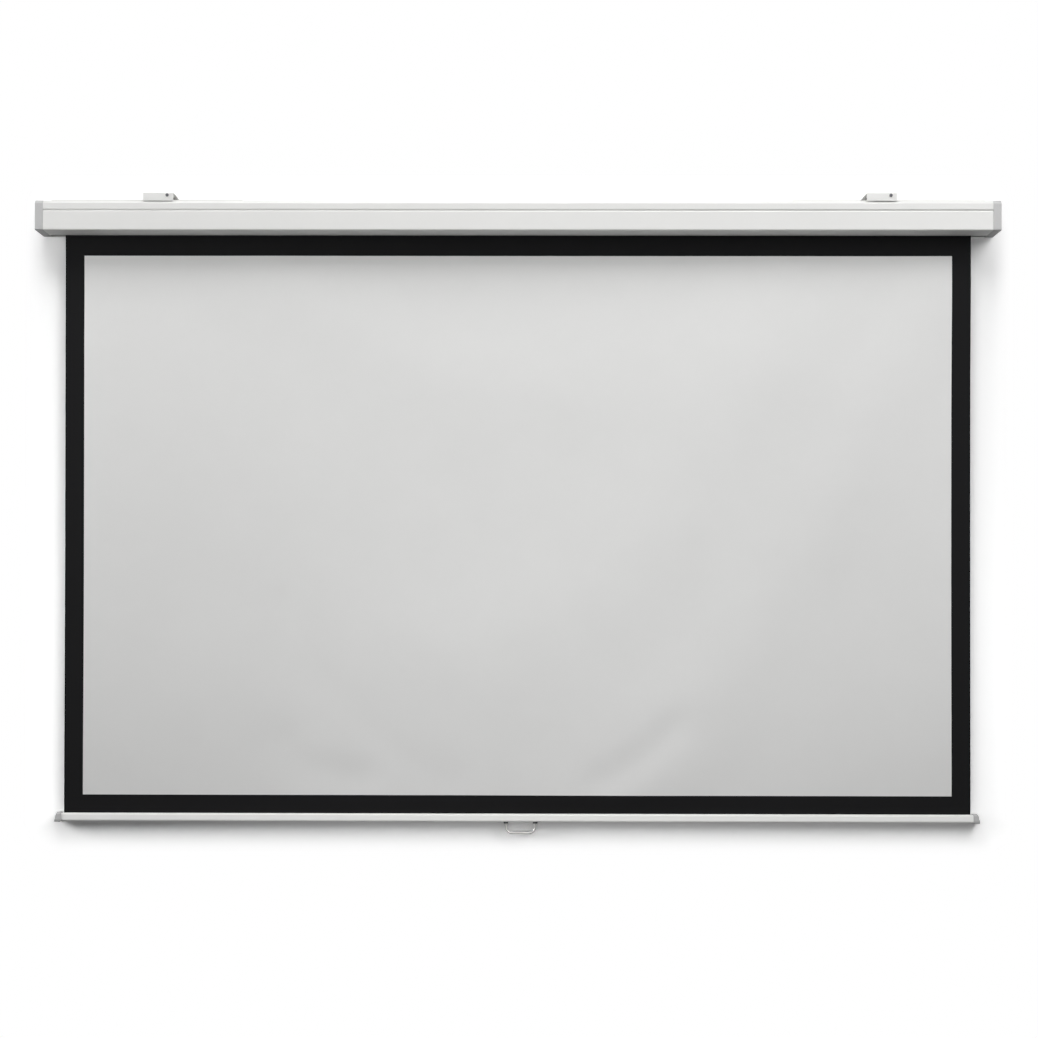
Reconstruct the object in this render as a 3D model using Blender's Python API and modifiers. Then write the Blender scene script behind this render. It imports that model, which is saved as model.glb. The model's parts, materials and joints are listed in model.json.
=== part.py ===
"""Pull-down projector screen: a slim case with a spring roller, a bordered sheet, a weighted bottom
bar with a wire handle, and two brackets that slide in rails on the case. Metres, +Z up.

The origin lies between the two brackets, where the wall plane (Y = 0) meets the ceiling plane
(Z = 0). The screen faces -Y and is drawn fully down.
"""
import math

import bmesh
import bpy
from mathutils import Matrix, Vector

# Clearances, and how far a cut starts outside the face that it enters
FIT_GAP = 0.0003
RUNNING_GAP = 0.0005
CUT_OVERRUN = 0.001

# Small edges
EDGE_RADIUS = 0.0015
PIN_CHAMFER = 0.001
PLUG_CHAMFER = 0.002

# Hanging sheet
FABRIC_WIDTH = 2.400
FABRIC_DROP = 1.531
FABRIC_THICKNESS = 0.0004
SIDE_BORDER = 0.050
TOP_BORDER = 0.053
BOTTOM_BORDER = 0.048
WAVE_DEPTH = 0.0022
WAVE_COUNT = 2.6
WAVE_SAG = 0.45
SHEET_COLUMNS = 24
SHEET_ROWS = 20

# Case shells
CASE_OVERHANG = 0.0405
CASE_HEIGHT = 0.078
CASE_DEPTH = 0.0795
CASE_WALL = 0.0012
CASE_BELOW_CEILING = 0.020
CASE_OFF_BRACKET = 0.0005
SLOPE_HEIGHT = 0.008
SLOPE_DEPTH = 0.006
CASE_CORNER = 0.003
GROOVE_BELOW_TOP = 0.0228
GROOVE_DEPTH = 0.0025
GROOVE_UPPER = 0.0034
GROOVE_LOWER = 0.0032
TONGUE_LENGTH = 0.010
SLOT_BEFORE_SHEET = 0.003
SLOT_LIP = 0.006
REAR_RETURN = 0.0035

# End caps
CAP_LENGTH = 0.021
CAP_WALL = 0.0025
CAP_RIB = 0.002
CAP_RIB_DEPTH = 0.012
CAP_BOSS_RADIUS = 0.0125
CAP_TAB_REACH = 0.007
CAP_TAB_HOLD = 0.004
CAP_TAB_THICKNESS = 0.002
CAP_TAB_WIDTH = 0.022
CAP_SCREW_OUT = 0.006
CAP_SCREW_BEFORE_BACK = 0.0115
CAP_SCREW_HEAD = 0.0064
CAP_SCREW_HEAD_HEIGHT = 0.0022
CAP_SCREW_SHANK = 0.003
CAP_SCREW_LENGTH = 0.011
CAP_SCREW_SUNK = 0.0008
CAP_COLUMN_RADIUS = 0.0055

# Roller
TUBE_DIAMETER = 0.042
TUBE_WALL = 0.0012
TUBE_OVERHANG = 0.012
KEYWAY_RADIUS = 0.0021
KEYWAY_MOUTH = 0.0018
WRAP_TURNS = 2
WRAP_GAP = 0.0005
WRAP_STEPS = 24
PLUG_FLANGE = 0.0025
PLUG_REACH = 0.040

# Spring end
ARBOR_SQUARE = 0.008
ARBOR_ROD = 0.010
ARBOR_COLLAR_RADIUS = 0.008
ARBOR_COLLAR = 0.003
ARBOR_SQUARE_OUT = 0.002
SOCKET_FLOOR = 0.0035
LOCK_DRUM_RADIUS = 0.0175
LOCK_DRUM_FRONT_RADIUS = 0.011
LOCK_DRUM_TAPER = 0.003
SPRING_NOSE_RADIUS = 0.007
SPRING_NOSE = 0.022
SPRING_WIRE = 0.0022
SPRING_PITCH = 0.0105
SPRING_TURNS = 20
SPRING_STEPS = 10
ANCHOR_FLANGE_RADIUS = 0.011
ANCHOR_FLANGE = 0.008
ROD_BEYOND_ANCHOR = 0.006

# Idle end
IDLE_PIN = 0.010
IDLE_PIN_COLLAR = 0.003
IDLE_HUB_RADIUS = 0.012
BUSH_WALL = 0.003
BUSH_LENGTH = 0.012

# Bottom bar
BAR_OVERHANG = 0.005
BAR_HEIGHT = 0.0203
BAR_DEPTH = 0.026
BAR_WALL = 0.0015
BAR_TOP_FLAT = 0.010
BAR_SHOULDER = 0.0028
BAR_SHOULDER_INSET = 0.0022
BAR_BELLY = 0.016
BAR_FOOT_INSET = 0.0004
BAR_TOP_RADIUS = 0.0008
BAR_BELLY_RADIUS = 0.008
BAR_FOOT_RADIUS = 0.002
BAR_HOLLOW_RADIUS = 0.0005
HEM_ROD = 0.0034
CHANNEL_WALL = 0.0012
CHANNEL_WEB_LIFT = math.radians(8)
BAR_CAP_LENGTH = 0.017
BAR_CAP_RIM = 0.0025
BAR_CAP_TAPER = 0.0045
BAR_CAP_PLUG = 0.012

# Handle
HANDLE_RIGHT_OF_MIDDLE = 0.0105
HANDLE_WIDTH = 0.0775
HANDLE_DROP = 0.0308
HANDLE_WIRE = 0.007
HANDLE_CORNER = 0.015
HANDLE_BEND = 0.0045
HANDLE_PIN = 0.012
HANDLE_SWING = math.radians(25)
HANDLE_SLOT_SIDE = 0.0008
CLIP_LENGTH = 0.016
CLIP_SIDE_ROOM = 0.002

# Rails and brackets
RAIL_LENGTH = 0.504
RAIL_END_MARGIN = 0.0135
RAIL_WIDTH = 0.026
RAIL_HEIGHT = 0.0075
RAIL_WALL = 0.0015
RAIL_MOUTH = 0.012
RAIL_STOP = 0.002
SHOE_LENGTH = 0.060
SHOE_BLOCK_DEPTH = 0.032
SHOE_RELIEF = 0.0004
BRACKET_SHEET = 0.002
BRACKET_WIDTH = 0.079
BRACKET_LIP = 0.0213
BRACKET_FLANGE = 0.050
BRACKET_BEND = 0.003
LEFT_BRACKET_INSET = 0.288
RIGHT_BRACKET_INSET = 0.277
LOCK_SCREW = 0.004
LOCK_SCREW_HEAD = 0.0085
LOCK_SCREW_HEAD_HEIGHT = 0.0026
LOCK_SCREW_GRIP = 0.012
LOCK_SCREW_FROM_EDGE = 0.016
SCREW_SLOT_WIDTH = 0.0055
SCREW_SLOT_LENGTH = 0.014
SCREW_SLOT_SPREAD = 0.044
WALL_SLOT_BELOW = 0.0115
CEILING_SLOT_BEFORE = 0.014

# Places worked out from the sizes
CASE_BACK = -(BRACKET_SHEET + CASE_OFF_BRACKET)
CASE_FRONT = CASE_BACK - CASE_DEPTH
CASE_TOP = -CASE_BELOW_CEILING
CASE_BOTTOM = CASE_TOP - CASE_HEIGHT
SHELL_END = FABRIC_WIDTH / 2 + CASE_OVERHANG
CAP_FACE = SHELL_END + FIT_GAP
AXIS_Y = (CASE_FRONT + CASE_BACK) / 2
AXIS_Z = (CASE_TOP + CASE_BOTTOM) / 2
TUBE_RADIUS = TUBE_DIAMETER / 2
TUBE_END = FABRIC_WIDTH / 2 + TUBE_OVERHANG
WRAP_PITCH = FABRIC_THICKNESS + WRAP_GAP
WRAP_RADIUS = TUBE_RADIUS + FIT_GAP + WRAP_TURNS * WRAP_PITCH + FABRIC_THICKNESS / 2
SHEET_Y = AXIS_Y + WRAP_RADIUS
SHEET_TOP = AXIS_Z - FIT_GAP
BAR_TOP = CASE_BOTTOM - FABRIC_DROP
BAR_BOTTOM = BAR_TOP - BAR_HEIGHT
BAR_END = FABRIC_WIDTH / 2 + BAR_OVERHANG
HEM_INNER = HEM_ROD / 2 + FIT_GAP
HEM_OUTER = HEM_INNER + FABRIC_THICKNESS
CHANNEL_RADIUS = HEM_OUTER + FIT_GAP
CHANNEL_HALF_MOUTH = FABRIC_THICKNESS + 2 * FIT_GAP
CHANNEL_Z = BAR_TOP - BAR_WALL - CHANNEL_RADIUS
CLIP_TOP = CHANNEL_Z - CHANNEL_RADIUS - CHANNEL_WALL - FIT_GAP
CLIP_BOTTOM = BAR_BOTTOM + BAR_WALL + FIT_GAP
HANDLE_AXIS_Z = (CLIP_TOP + CLIP_BOTTOM) / 2
RAIL_Y = AXIS_Y
RAIL_TOP = CASE_TOP + FIT_GAP + RAIL_HEIGHT
SHOE_TOP = -BRACKET_SHEET - FIT_GAP
SHOE_BLOCK_BOTTOM = RAIL_TOP + RUNNING_GAP
SHOE_FRONT = RAIL_Y - SHOE_BLOCK_DEPTH / 2
LOCK_SCREW_Z = (SHOE_TOP + SHOE_BLOCK_BOTTOM) / 2
RAIL_OUTER_END = SHELL_END - RAIL_END_MARGIN

# Along X, a section drawn in (Y, Z) stands upright
ALONG_X = Matrix(((0, 0, 1, 0), (1, 0, 0, 0), (0, 1, 0, 0), (0, 0, 0, 1)))


def material(name, colour, roughness, metallic=0.0):
    """Return a plain Principled material; colour is linear RGB."""
    made = bpy.data.materials.new(name)
    made.use_nodes = True
    shader = made.node_tree.nodes["Principled BSDF"]
    shader.inputs["Base Color"].default_value = (*colour, 1.0)
    shader.inputs["Roughness"].default_value = roughness
    shader.inputs["Metallic"].default_value = metallic
    made.diffuse_color = (*colour, 1.0)
    return made


def add_collection(name):
    """Return a new collection linked to the scene."""
    made = bpy.data.collections.new(name)
    bpy.context.scene.collection.children.link(made)
    return made


def add_axis(name, place):
    """Return an empty that marks a joint's axis."""
    axis = bpy.data.objects.new(name, None)
    axis.empty_display_size = 0.02
    axis.location = place
    PARTS.objects.link(axis)
    return axis


def hang_on(piece, axis):
    """Parent a piece to a joint's empty without moving it."""
    piece.parent = axis
    piece.matrix_parent_inverse = Matrix.Translation(axis.location).inverted()


def mesh_piece(name, mesh, finish=None):
    """Return an object for a mesh: a part if it has a finish, otherwise a tool for cuts and joins."""
    piece = bpy.data.objects.new(name, mesh)
    if finish is None:
        TOOLS.objects.link(piece)
        piece.hide_render = True
        piece.display_type = "WIRE"
    else:
        PARTS.objects.link(piece)
        mesh.materials.append(finish)
        mesh.shade_smooth()
        mesh.set_sharp_from_angle(angle=math.radians(35))
    return piece


def offset_path(points, distance, closed=False):
    """Return a path at one distance to the left of another, its corners mitred."""
    count = len(points)
    moved = []
    for index, point in enumerate(points):
        before = points[index - 1] if closed or index > 0 else None
        after = points[(index + 1) % count] if closed or index < count - 1 else None
        sides = []
        if before is not None:
            sides.append((Vector(point) - Vector(before)).normalized())
        if after is not None:
            sides.append((Vector(after) - Vector(point)).normalized())
        normals = [Vector((-side.y, side.x)) for side in sides]
        middle = sum(normals, Vector((0, 0))).normalized()
        moved.append(tuple(Vector(point) + middle * distance / middle.dot(normals[0])))
    return moved


def round_corners(points, radii, closed=True, steps=4):
    """Return a path with an arc of the given radius at each corner; a radius of 0 stays sharp."""
    count = len(points)
    path = []
    for index, (point, radius) in enumerate(zip(points, radii)):
        inner = closed or 0 < index < count - 1
        if not inner or radius == 0:
            path.append(tuple(point))
            continue
        corner = Vector(point)
        to_before = (Vector(points[index - 1]) - corner).normalized()
        to_after = (Vector(points[(index + 1) % count]) - corner).normalized()
        half_angle = to_before.angle(to_after) / 2
        centre = corner + (to_before + to_after).normalized() * radius / math.sin(half_angle)
        start = corner + to_before * radius / math.tan(half_angle) - centre
        sweep = start.angle_signed(corner + to_after * radius / math.tan(half_angle) - centre)
        for step in range(steps + 1):
            turned = Matrix.Rotation(-sweep * step / steps, 2) @ start
            path.append(tuple(centre + turned))
    return path


def arc(centre, radius, start, end, steps):
    """Return points on an arc between two angles in radians, both ends included."""
    points = []
    for step in range(steps + 1):
        angle = start + (end - start) * step / steps
        points.append((centre[0] + radius * math.cos(angle), centre[1] + radius * math.sin(angle)))
    return points


def filled(name, loops, thickness, placing, finish=None):
    """Return a plate with one flat outline, with holes if more loops follow, placed by a matrix."""
    curve = bpy.data.curves.new(name, "CURVE")
    curve.dimensions = "2D"
    curve.fill_mode = "BOTH"
    curve.extrude = thickness / 2
    for loop in loops:
        spline = curve.splines.new("POLY")
        spline.points.add(len(loop) - 1)
        for point, (across, up) in zip(spline.points, loop):
            point.co = (across, up, 0.0, 1.0)
        spline.use_cyclic_u = True
    outline = bpy.data.objects.new(name + "_outline", curve)
    TOOLS.objects.link(outline)
    outline.matrix_world = placing
    bpy.context.view_layer.update()
    seen = outline.evaluated_get(bpy.context.evaluated_depsgraph_get())
    mesh = bpy.data.meshes.new_from_object(seen)
    shape = bmesh.new()
    shape.from_mesh(mesh)
    bmesh.ops.remove_doubles(shape, verts=shape.verts, dist=0.00001)
    shape.to_mesh(mesh)
    shape.free()
    piece = mesh_piece(name, mesh, finish)
    piece.matrix_world = outline.matrix_world
    bpy.data.objects.remove(outline)
    return piece


def extruded(name, loops, length, middle_x, finish=None):
    """Return a solid of one (Y, Z) section, with holes if more loops follow, run along X."""
    return filled(name, loops, length, Matrix.Translation((middle_x, 0, 0)) @ ALONG_X, finish)


def box(name, low, high, finish=None):
    """Return a box between two corners."""
    size = Vector(high) - Vector(low)
    middle = (Vector(high) + Vector(low)) / 2
    mesh = bpy.data.meshes.new(name)
    shape = bmesh.new()
    bmesh.ops.create_cube(shape, size=1.0, matrix=Matrix.Diagonal((*size, 1.0)))
    shape.to_mesh(mesh)
    shape.free()
    piece = mesh_piece(name, mesh, finish)
    piece.location = middle
    return piece


def cylinder(name, radius, start, end, segments=24):
    """Return a round tool between two points of its axis."""
    along = Vector(end) - Vector(start)
    mesh = bpy.data.meshes.new(name)
    shape = bmesh.new()
    bmesh.ops.create_cone(
        shape, cap_ends=True, segments=segments, radius1=radius, radius2=radius, depth=along.length
    )
    shape.to_mesh(mesh)
    shape.free()
    piece = mesh_piece(name, mesh)
    piece.location = (Vector(start) + Vector(end)) / 2
    piece.rotation_euler = along.to_track_quat("Z", "Y").to_euler()
    return piece


def slot_tool(name, middle, width, length, depth, across):
    """Return a tool for a slot with round ends that is long in X and cuts along the axis across."""
    half = (length - width) / 2
    loop = arc((half, 0), width / 2, -math.pi / 2, math.pi / 2, 6)
    loop += arc((-half, 0), width / 2, math.pi / 2, 3 * math.pi / 2, 6)
    turn = Matrix.Rotation(math.pi / 2, 4, "X") if across == "Y" else Matrix.Identity(4)
    return filled(name, [loop], depth, Matrix.Translation(middle) @ turn)


def turned(name, profile, place, facing, finish=None, closed=True, steps=32):
    """Return a turned solid from (depth, radius) pairs; facing is the way its first pair looks.

    The pairs run down the outer side from the first depth on, and back up a bore if closed.
    """
    mesh = bpy.data.meshes.new(name)
    ends = [(index, index + 1) for index in range(len(profile) - 1)]
    if closed:
        ends.append((len(profile) - 1, 0))
    mesh.from_pydata([(radius, 0.0, -depth) for depth, radius in profile], ends, [])
    piece = mesh_piece(name, mesh, finish)
    screw = piece.modifiers.new("turn", "SCREW")
    screw.axis = "Z"
    screw.steps = steps
    screw.render_steps = steps
    screw.use_merge_vertices = True
    screw.merge_threshold = 0.00001
    screw.use_smooth_shade = True
    piece.location = place
    piece.rotation_euler = Vector(facing).to_track_quat("Z", "Y").to_euler()
    return piece


def wire(name, points, diameter, resolution, finish):
    """Return a wire with flat ends along a list of points."""
    curve = bpy.data.curves.new(name, "CURVE")
    curve.dimensions = "3D"
    curve.bevel_depth = diameter / 2
    curve.bevel_resolution = resolution
    curve.use_fill_caps = True
    spline = curve.splines.new("POLY")
    spline.points.add(len(points) - 1)
    for point, place in zip(spline.points, points):
        point.co = (*place, 1.0)
    curve.materials.append(finish)
    piece = bpy.data.objects.new(name, curve)
    PARTS.objects.link(piece)
    return piece


def combine(piece, tool, operation):
    """Add a Boolean of a tool to a piece."""
    step = piece.modifiers.new(tool.name, "BOOLEAN")
    step.operation = operation
    step.object = tool
    step.solver = "EXACT"


def cut(piece, *tools):
    """Cut each tool out of a piece."""
    for tool in tools:
        combine(piece, tool, "DIFFERENCE")


def fuse(piece, *tools):
    """Join each tool to a piece."""
    for tool in tools:
        combine(piece, tool, "UNION")


def least_gap(points, thickness, apart):
    """Return the least gap of a wire to itself, between points at least so many steps apart."""
    least = math.inf
    for index, point in enumerate(points):
        for other in points[index + apart:]:
            least = min(least, (Vector(point) - Vector(other)).length - thickness)
    return least


def housing_path():
    """Return the rear housing's outer line, from the slot up the back to the groove's tongue."""
    groove_top = CASE_TOP - GROOVE_BELOW_TOP
    groove_root = CASE_FRONT + GROOVE_DEPTH
    groove_middle = groove_top - GROOVE_UPPER
    tongue = groove_root + CASE_WALL + FIT_GAP
    corners = [
        (CASE_BACK - REAR_RETURN, CASE_BOTTOM),
        (CASE_BACK, CASE_BOTTOM),
        (CASE_BACK, CASE_TOP),
        (CASE_FRONT + SLOPE_DEPTH, CASE_TOP),
        (CASE_FRONT, CASE_TOP - SLOPE_HEIGHT),
        (CASE_FRONT, groove_top),
        (groove_root, groove_middle),
        (tongue, groove_middle),
        (tongue, groove_middle - TONGUE_LENGTH),
    ]
    radii = [0] + 4 * [EDGE_RADIUS] + 4 * [0]
    return round_corners(corners, radii, closed=False, steps=3)


def cover_path():
    """Return the front cover's outer line, from the groove down the front to the slot's lip."""
    groove_middle = CASE_TOP - GROOVE_BELOW_TOP - GROOVE_UPPER - FIT_GAP
    slot_front = SHEET_Y - SLOT_BEFORE_SHEET
    corners = [
        (CASE_FRONT + GROOVE_DEPTH, groove_middle),
        (CASE_FRONT, groove_middle - GROOVE_LOWER),
        (CASE_FRONT, CASE_BOTTOM),
        (slot_front, CASE_BOTTOM),
        (slot_front, CASE_BOTTOM + SLOT_LIP),
    ]
    return round_corners(corners, [0, 0, CASE_CORNER, EDGE_RADIUS, 0], closed=False, steps=4)


def make_case():
    """Make the two shells of the case."""
    for name, path in (("rear_housing", housing_path()), ("front_cover", cover_path())):
        inner = offset_path(path, CASE_WALL)
        extruded(name, [path + inner[::-1]], 2 * SHELL_END, 0.0, WHITE_PAINT)


def cap_outline(inset=0.0):
    """Return the case's full outline, drawn in by an inset."""
    corners = [
        (CASE_BACK, CASE_BOTTOM),
        (CASE_BACK, CASE_TOP),
        (CASE_FRONT + SLOPE_DEPTH, CASE_TOP),
        (CASE_FRONT, CASE_TOP - SLOPE_HEIGHT),
        (CASE_FRONT, CASE_BOTTOM),
    ]
    drawn_in = offset_path(corners, inset, closed=True)
    return round_corners(drawn_in, 4 * [EDGE_RADIUS] + [CASE_CORNER], steps=3)


def cap_tabs(name, side):
    """Return the four tabs that locate a cap inside the shells."""
    low_x, high_x = sorted((side * (CAP_FACE - CAP_TAB_REACH), side * (CAP_FACE + CAP_TAB_HOLD)))
    inset = CASE_WALL + FIT_GAP
    deep = inset + CAP_TAB_THICKNESS
    half = CAP_TAB_WIDTH / 2
    tongue_end = CASE_TOP - GROOVE_BELOW_TOP - GROOVE_UPPER - TONGUE_LENGTH
    front_middle = (tongue_end + CASE_BOTTOM) / 2
    front_half = (tongue_end - CASE_BOTTOM) / 2 - CASE_CORNER - RUNNING_GAP
    spans = [
        ((AXIS_Y - half, CASE_TOP - deep), (AXIS_Y + half, CASE_TOP - inset)),
        ((CASE_BACK - deep, AXIS_Z - half), (CASE_BACK - inset, AXIS_Z + half)),
        ((AXIS_Y - half, CASE_BOTTOM + inset), (AXIS_Y + half / 2, CASE_BOTTOM + deep)),
        ((CASE_FRONT + inset, front_middle - front_half), (CASE_FRONT + deep, front_middle + front_half)),
    ]
    tabs = []
    for number, (low, high) in enumerate(spans):
        tabs.append(box(f"{name}_tab_{number}", (low_x, *low), (high_x, *high)))
    return tabs


def make_end_cap(name, side):
    """Make a hollow moulded cap with its boss, ribs, tabs and screw column."""
    outer_x = CAP_FACE + CAP_LENGTH
    cap = extruded(name, [cap_outline()], CAP_LENGTH, side * (CAP_FACE + outer_x) / 2, CAP_PLASTIC)
    pocket_end = outer_x - CAP_WALL
    mouth = CAP_FACE - CUT_OVERRUN
    pocket = extruded(
        f"{name}_pocket", [cap_outline(CAP_WALL)], pocket_end - mouth, side * (pocket_end + mouth) / 2
    )
    cut(cap, pocket)
    inside_x = side * (pocket_end + CAP_WALL / 2)
    rib_x = side * (pocket_end - CAP_RIB_DEPTH)
    low_x, high_x = sorted((inside_x, rib_x))
    reach = CAP_WALL / 2
    half = CAP_RIB / 2
    rib_y = box(
        f"{name}_rib_y",
        (low_x, CASE_FRONT + reach, AXIS_Z - half),
        (high_x, CASE_BACK - reach, AXIS_Z + half),
    )
    rib_z = box(
        f"{name}_rib_z",
        (low_x, AXIS_Y - half, CASE_BOTTOM + reach),
        (high_x, AXIS_Y + half, CASE_TOP - reach),
    )
    boss = cylinder(
        f"{name}_boss", CAP_BOSS_RADIUS, (inside_x, AXIS_Y, AXIS_Z), (side * CAP_FACE, AXIS_Y, AXIS_Z)
    )
    screw_x = side * (CAP_FACE + CAP_SCREW_OUT)
    screw_y = CASE_BACK - CAP_SCREW_BEFORE_BACK
    head_top = CASE_BOTTOM + CAP_SCREW_SUNK + CAP_SCREW_HEAD_HEIGHT
    column_top = head_top + CAP_SCREW_LENGTH + CAP_WALL
    column = cylinder(
        f"{name}_column",
        CAP_COLUMN_RADIUS,
        (screw_x, screw_y, CASE_BOTTOM + reach),
        (screw_x, screw_y, column_top),
        segments=20,
    )
    fuse(cap, rib_y, rib_z, boss, column, *cap_tabs(name, side))
    sink = cylinder(
        f"{name}_sink",
        CAP_SCREW_HEAD / 2 + FIT_GAP,
        (screw_x, screw_y, CASE_BOTTOM - CUT_OVERRUN),
        (screw_x, screw_y, head_top + FIT_GAP),
        segments=20,
    )
    bore = cylinder(
        f"{name}_bore",
        CAP_SCREW_SHANK / 2 + FIT_GAP,
        (screw_x, screw_y, CASE_BOTTOM),
        (screw_x, screw_y, head_top + CAP_SCREW_LENGTH + FIT_GAP),
        segments=12,
    )
    cut(cap, sink, bore)
    make_cap_screw(name.replace("end_cap", "cap_screw"), (screw_x, screw_y, head_top))


def make_cap_screw(name, head_top):
    """Make the pan-head screw that stands in a cap's underside."""
    head = CAP_SCREW_HEAD / 2
    shank = CAP_SCREW_SHANK / 2
    tall = CAP_SCREW_HEAD_HEIGHT
    profile = [
        (0.0, 0.0),
        (0.0, head * 0.72),
        (tall * 0.35, head),
        (tall, head),
        (tall, shank),
        (tall + CAP_SCREW_LENGTH - shank, shank),
        (tall + CAP_SCREW_LENGTH, 0.0),
    ]
    x, y, z = head_top
    turned(name, profile, (x, y, z - tall), (0, 0, -1), DARK_STEEL, closed=False, steps=16)


def make_spring_end(roller):
    """Make the fixed arbor, the lock unit, the spring and its anchor at the left end."""
    left = (-CAP_FACE, AXIS_Y, AXIS_Z)
    cap = bpy.data.objects["end_cap_left"]
    socket_depth = CAP_LENGTH - SOCKET_FLOOR
    half = ARBOR_SQUARE / 2
    room = half + FIT_GAP
    socket = box(
        "end_cap_left_socket",
        (-CAP_FACE - socket_depth, AXIS_Y - room, AXIS_Z - room),
        (-CAP_FACE + CUT_OVERRUN, AXIS_Y + room, AXIS_Z + room),
    )
    cut(cap, socket)

    collar_end = ARBOR_SQUARE_OUT + ARBOR_COLLAR
    drum_start = collar_end + FIT_GAP
    tube_start = CAP_FACE - TUBE_END
    plug_start = tube_start - FIT_GAP
    nose_start = plug_start + PLUG_REACH
    nose_end = nose_start + SPRING_NOSE
    coil_start = nose_start + SPRING_WIRE / 2 + FIT_GAP
    coil_length = SPRING_TURNS * SPRING_PITCH
    anchor_nose = coil_start + coil_length - SPRING_NOSE + SPRING_WIRE
    anchor_face = coil_start + coil_length + SPRING_WIRE / 2 + FIT_GAP
    rod = ARBOR_ROD / 2
    bore = rod + FIT_GAP
    rod_end = anchor_face + ANCHOR_FLANGE + ROD_BEYOND_ANCHOR

    arbor = box(
        "spring_arbor",
        (-CAP_FACE - socket_depth + FIT_GAP, AXIS_Y - half, AXIS_Z - half),
        (-CAP_FACE + ARBOR_SQUARE_OUT + ARBOR_COLLAR / 2, AXIS_Y + half, AXIS_Z + half),
        BRIGHT_STEEL,
    )
    rod_profile = [
        (ARBOR_SQUARE_OUT, 0.0),
        (ARBOR_SQUARE_OUT, ARBOR_COLLAR_RADIUS),
        (collar_end, ARBOR_COLLAR_RADIUS),
        (collar_end, rod),
        (rod_end - PIN_CHAMFER, rod),
        (rod_end, rod - PIN_CHAMFER),
        (rod_end, 0.0),
    ]
    fuse(arbor, turned("spring_arbor_rod", rod_profile, left, (-1, 0, 0), closed=False, steps=24))

    inner = TUBE_RADIUS - TUBE_WALL - FIT_GAP
    lock_profile = [
        (drum_start, LOCK_DRUM_FRONT_RADIUS),
        (drum_start + LOCK_DRUM_TAPER, LOCK_DRUM_RADIUS),
        (plug_start - PLUG_FLANGE, LOCK_DRUM_RADIUS),
        (plug_start - PLUG_FLANGE, TUBE_RADIUS),
        (plug_start, TUBE_RADIUS),
        (plug_start, inner),
        (nose_start - PLUG_CHAMFER, inner),
        (nose_start, inner - PLUG_CHAMFER),
        (nose_start, SPRING_NOSE_RADIUS),
        (nose_end - PIN_CHAMFER, SPRING_NOSE_RADIUS),
        (nose_end, SPRING_NOSE_RADIUS - PIN_CHAMFER),
        (nose_end, bore),
        (drum_start, bore),
    ]
    lock = turned("lock_unit", lock_profile, left, (-1, 0, 0), BLACK_PLASTIC)
    cut(lock, key_tool("lock_unit_key", -TUBE_END, 1))
    hang_on(lock, roller)

    anchor_profile = [
        (anchor_nose, bore),
        (anchor_nose, SPRING_NOSE_RADIUS - PIN_CHAMFER),
        (anchor_nose + PIN_CHAMFER, SPRING_NOSE_RADIUS),
        (anchor_face, SPRING_NOSE_RADIUS),
        (anchor_face, ANCHOR_FLANGE_RADIUS),
        (anchor_face + ANCHOR_FLANGE - PIN_CHAMFER, ANCHOR_FLANGE_RADIUS),
        (anchor_face + ANCHOR_FLANGE, ANCHOR_FLANGE_RADIUS - PIN_CHAMFER),
        (anchor_face + ANCHOR_FLANGE, bore),
    ]
    turned("spring_anchor", anchor_profile, left, (-1, 0, 0), BLACK_PLASTIC, steps=24)

    # The coil's chords clear the noses, so its radius grows with its coarser steps
    touching = SPRING_NOSE_RADIUS + FIT_GAP + SPRING_WIRE / 2
    coil_radius = touching / math.cos(math.pi / SPRING_STEPS)
    points = []
    for step in range(SPRING_TURNS * SPRING_STEPS + 1):
        angle = 2 * math.pi * step / SPRING_STEPS
        x = -CAP_FACE + coil_start + SPRING_PITCH * step / SPRING_STEPS
        y = AXIS_Y + coil_radius * math.cos(angle)
        z = AXIS_Z + coil_radius * math.sin(angle)
        points.append((x, y, z))
    wire("torsion_spring", points, SPRING_WIRE, 1, BRIGHT_STEEL)
    gap = least_gap(points, SPRING_WIRE, SPRING_STEPS // 2)
    print(f"torsion_spring: least gap to itself {gap * 1000:.2f} mm")


def key_tool(name, tube_end, inward):
    """Return a tool that clears the tube's keyway out of a plug."""
    centre_z = AXIS_Z + keyway_centre()
    radius = KEYWAY_RADIUS + TUBE_WALL + FIT_GAP
    start = (tube_end - inward * FIT_GAP / 2, AXIS_Y, centre_z)
    end = (tube_end + inward * (PLUG_REACH + CUT_OVERRUN), AXIS_Y, centre_z)
    return cylinder(name, radius, start, end, segments=20)


def keyway_centre():
    """Return how far the keyway's centre lies from the roller's axis."""
    return TUBE_RADIUS - TUBE_WALL - KEYWAY_RADIUS


def tube_loops():
    """Return the tube's outer line with its keyway, and its bore with the keyway's bulge."""
    centre = (AXIS_Y, AXIS_Z + keyway_centre())
    up = math.pi / 2
    mouth = math.asin(KEYWAY_MOUTH / 2 / TUBE_RADIUS)
    outer = arc((AXIS_Y, AXIS_Z), TUBE_RADIUS, up + mouth, up + 2 * math.pi - mouth, 40)
    throat = math.asin(KEYWAY_MOUTH / 2 / KEYWAY_RADIUS)
    outer += arc(centre, KEYWAY_RADIUS, up - throat, up + throat - 2 * math.pi, 12)
    bore_radius = TUBE_RADIUS - TUBE_WALL
    bulge_radius = KEYWAY_RADIUS + TUBE_WALL
    offset = keyway_centre()
    lean = math.acos((bore_radius**2 + offset**2 - bulge_radius**2) / (2 * bore_radius * offset))
    inner = arc((AXIS_Y, AXIS_Z), bore_radius, up + lean, up + 2 * math.pi - lean, 40)
    side = math.atan2(bore_radius * math.cos(lean) - offset, bore_radius * math.sin(lean))
    inner += arc(centre, bulge_radius, side, -math.pi - side, 10)[1:-1]
    return [outer, inner]


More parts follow.
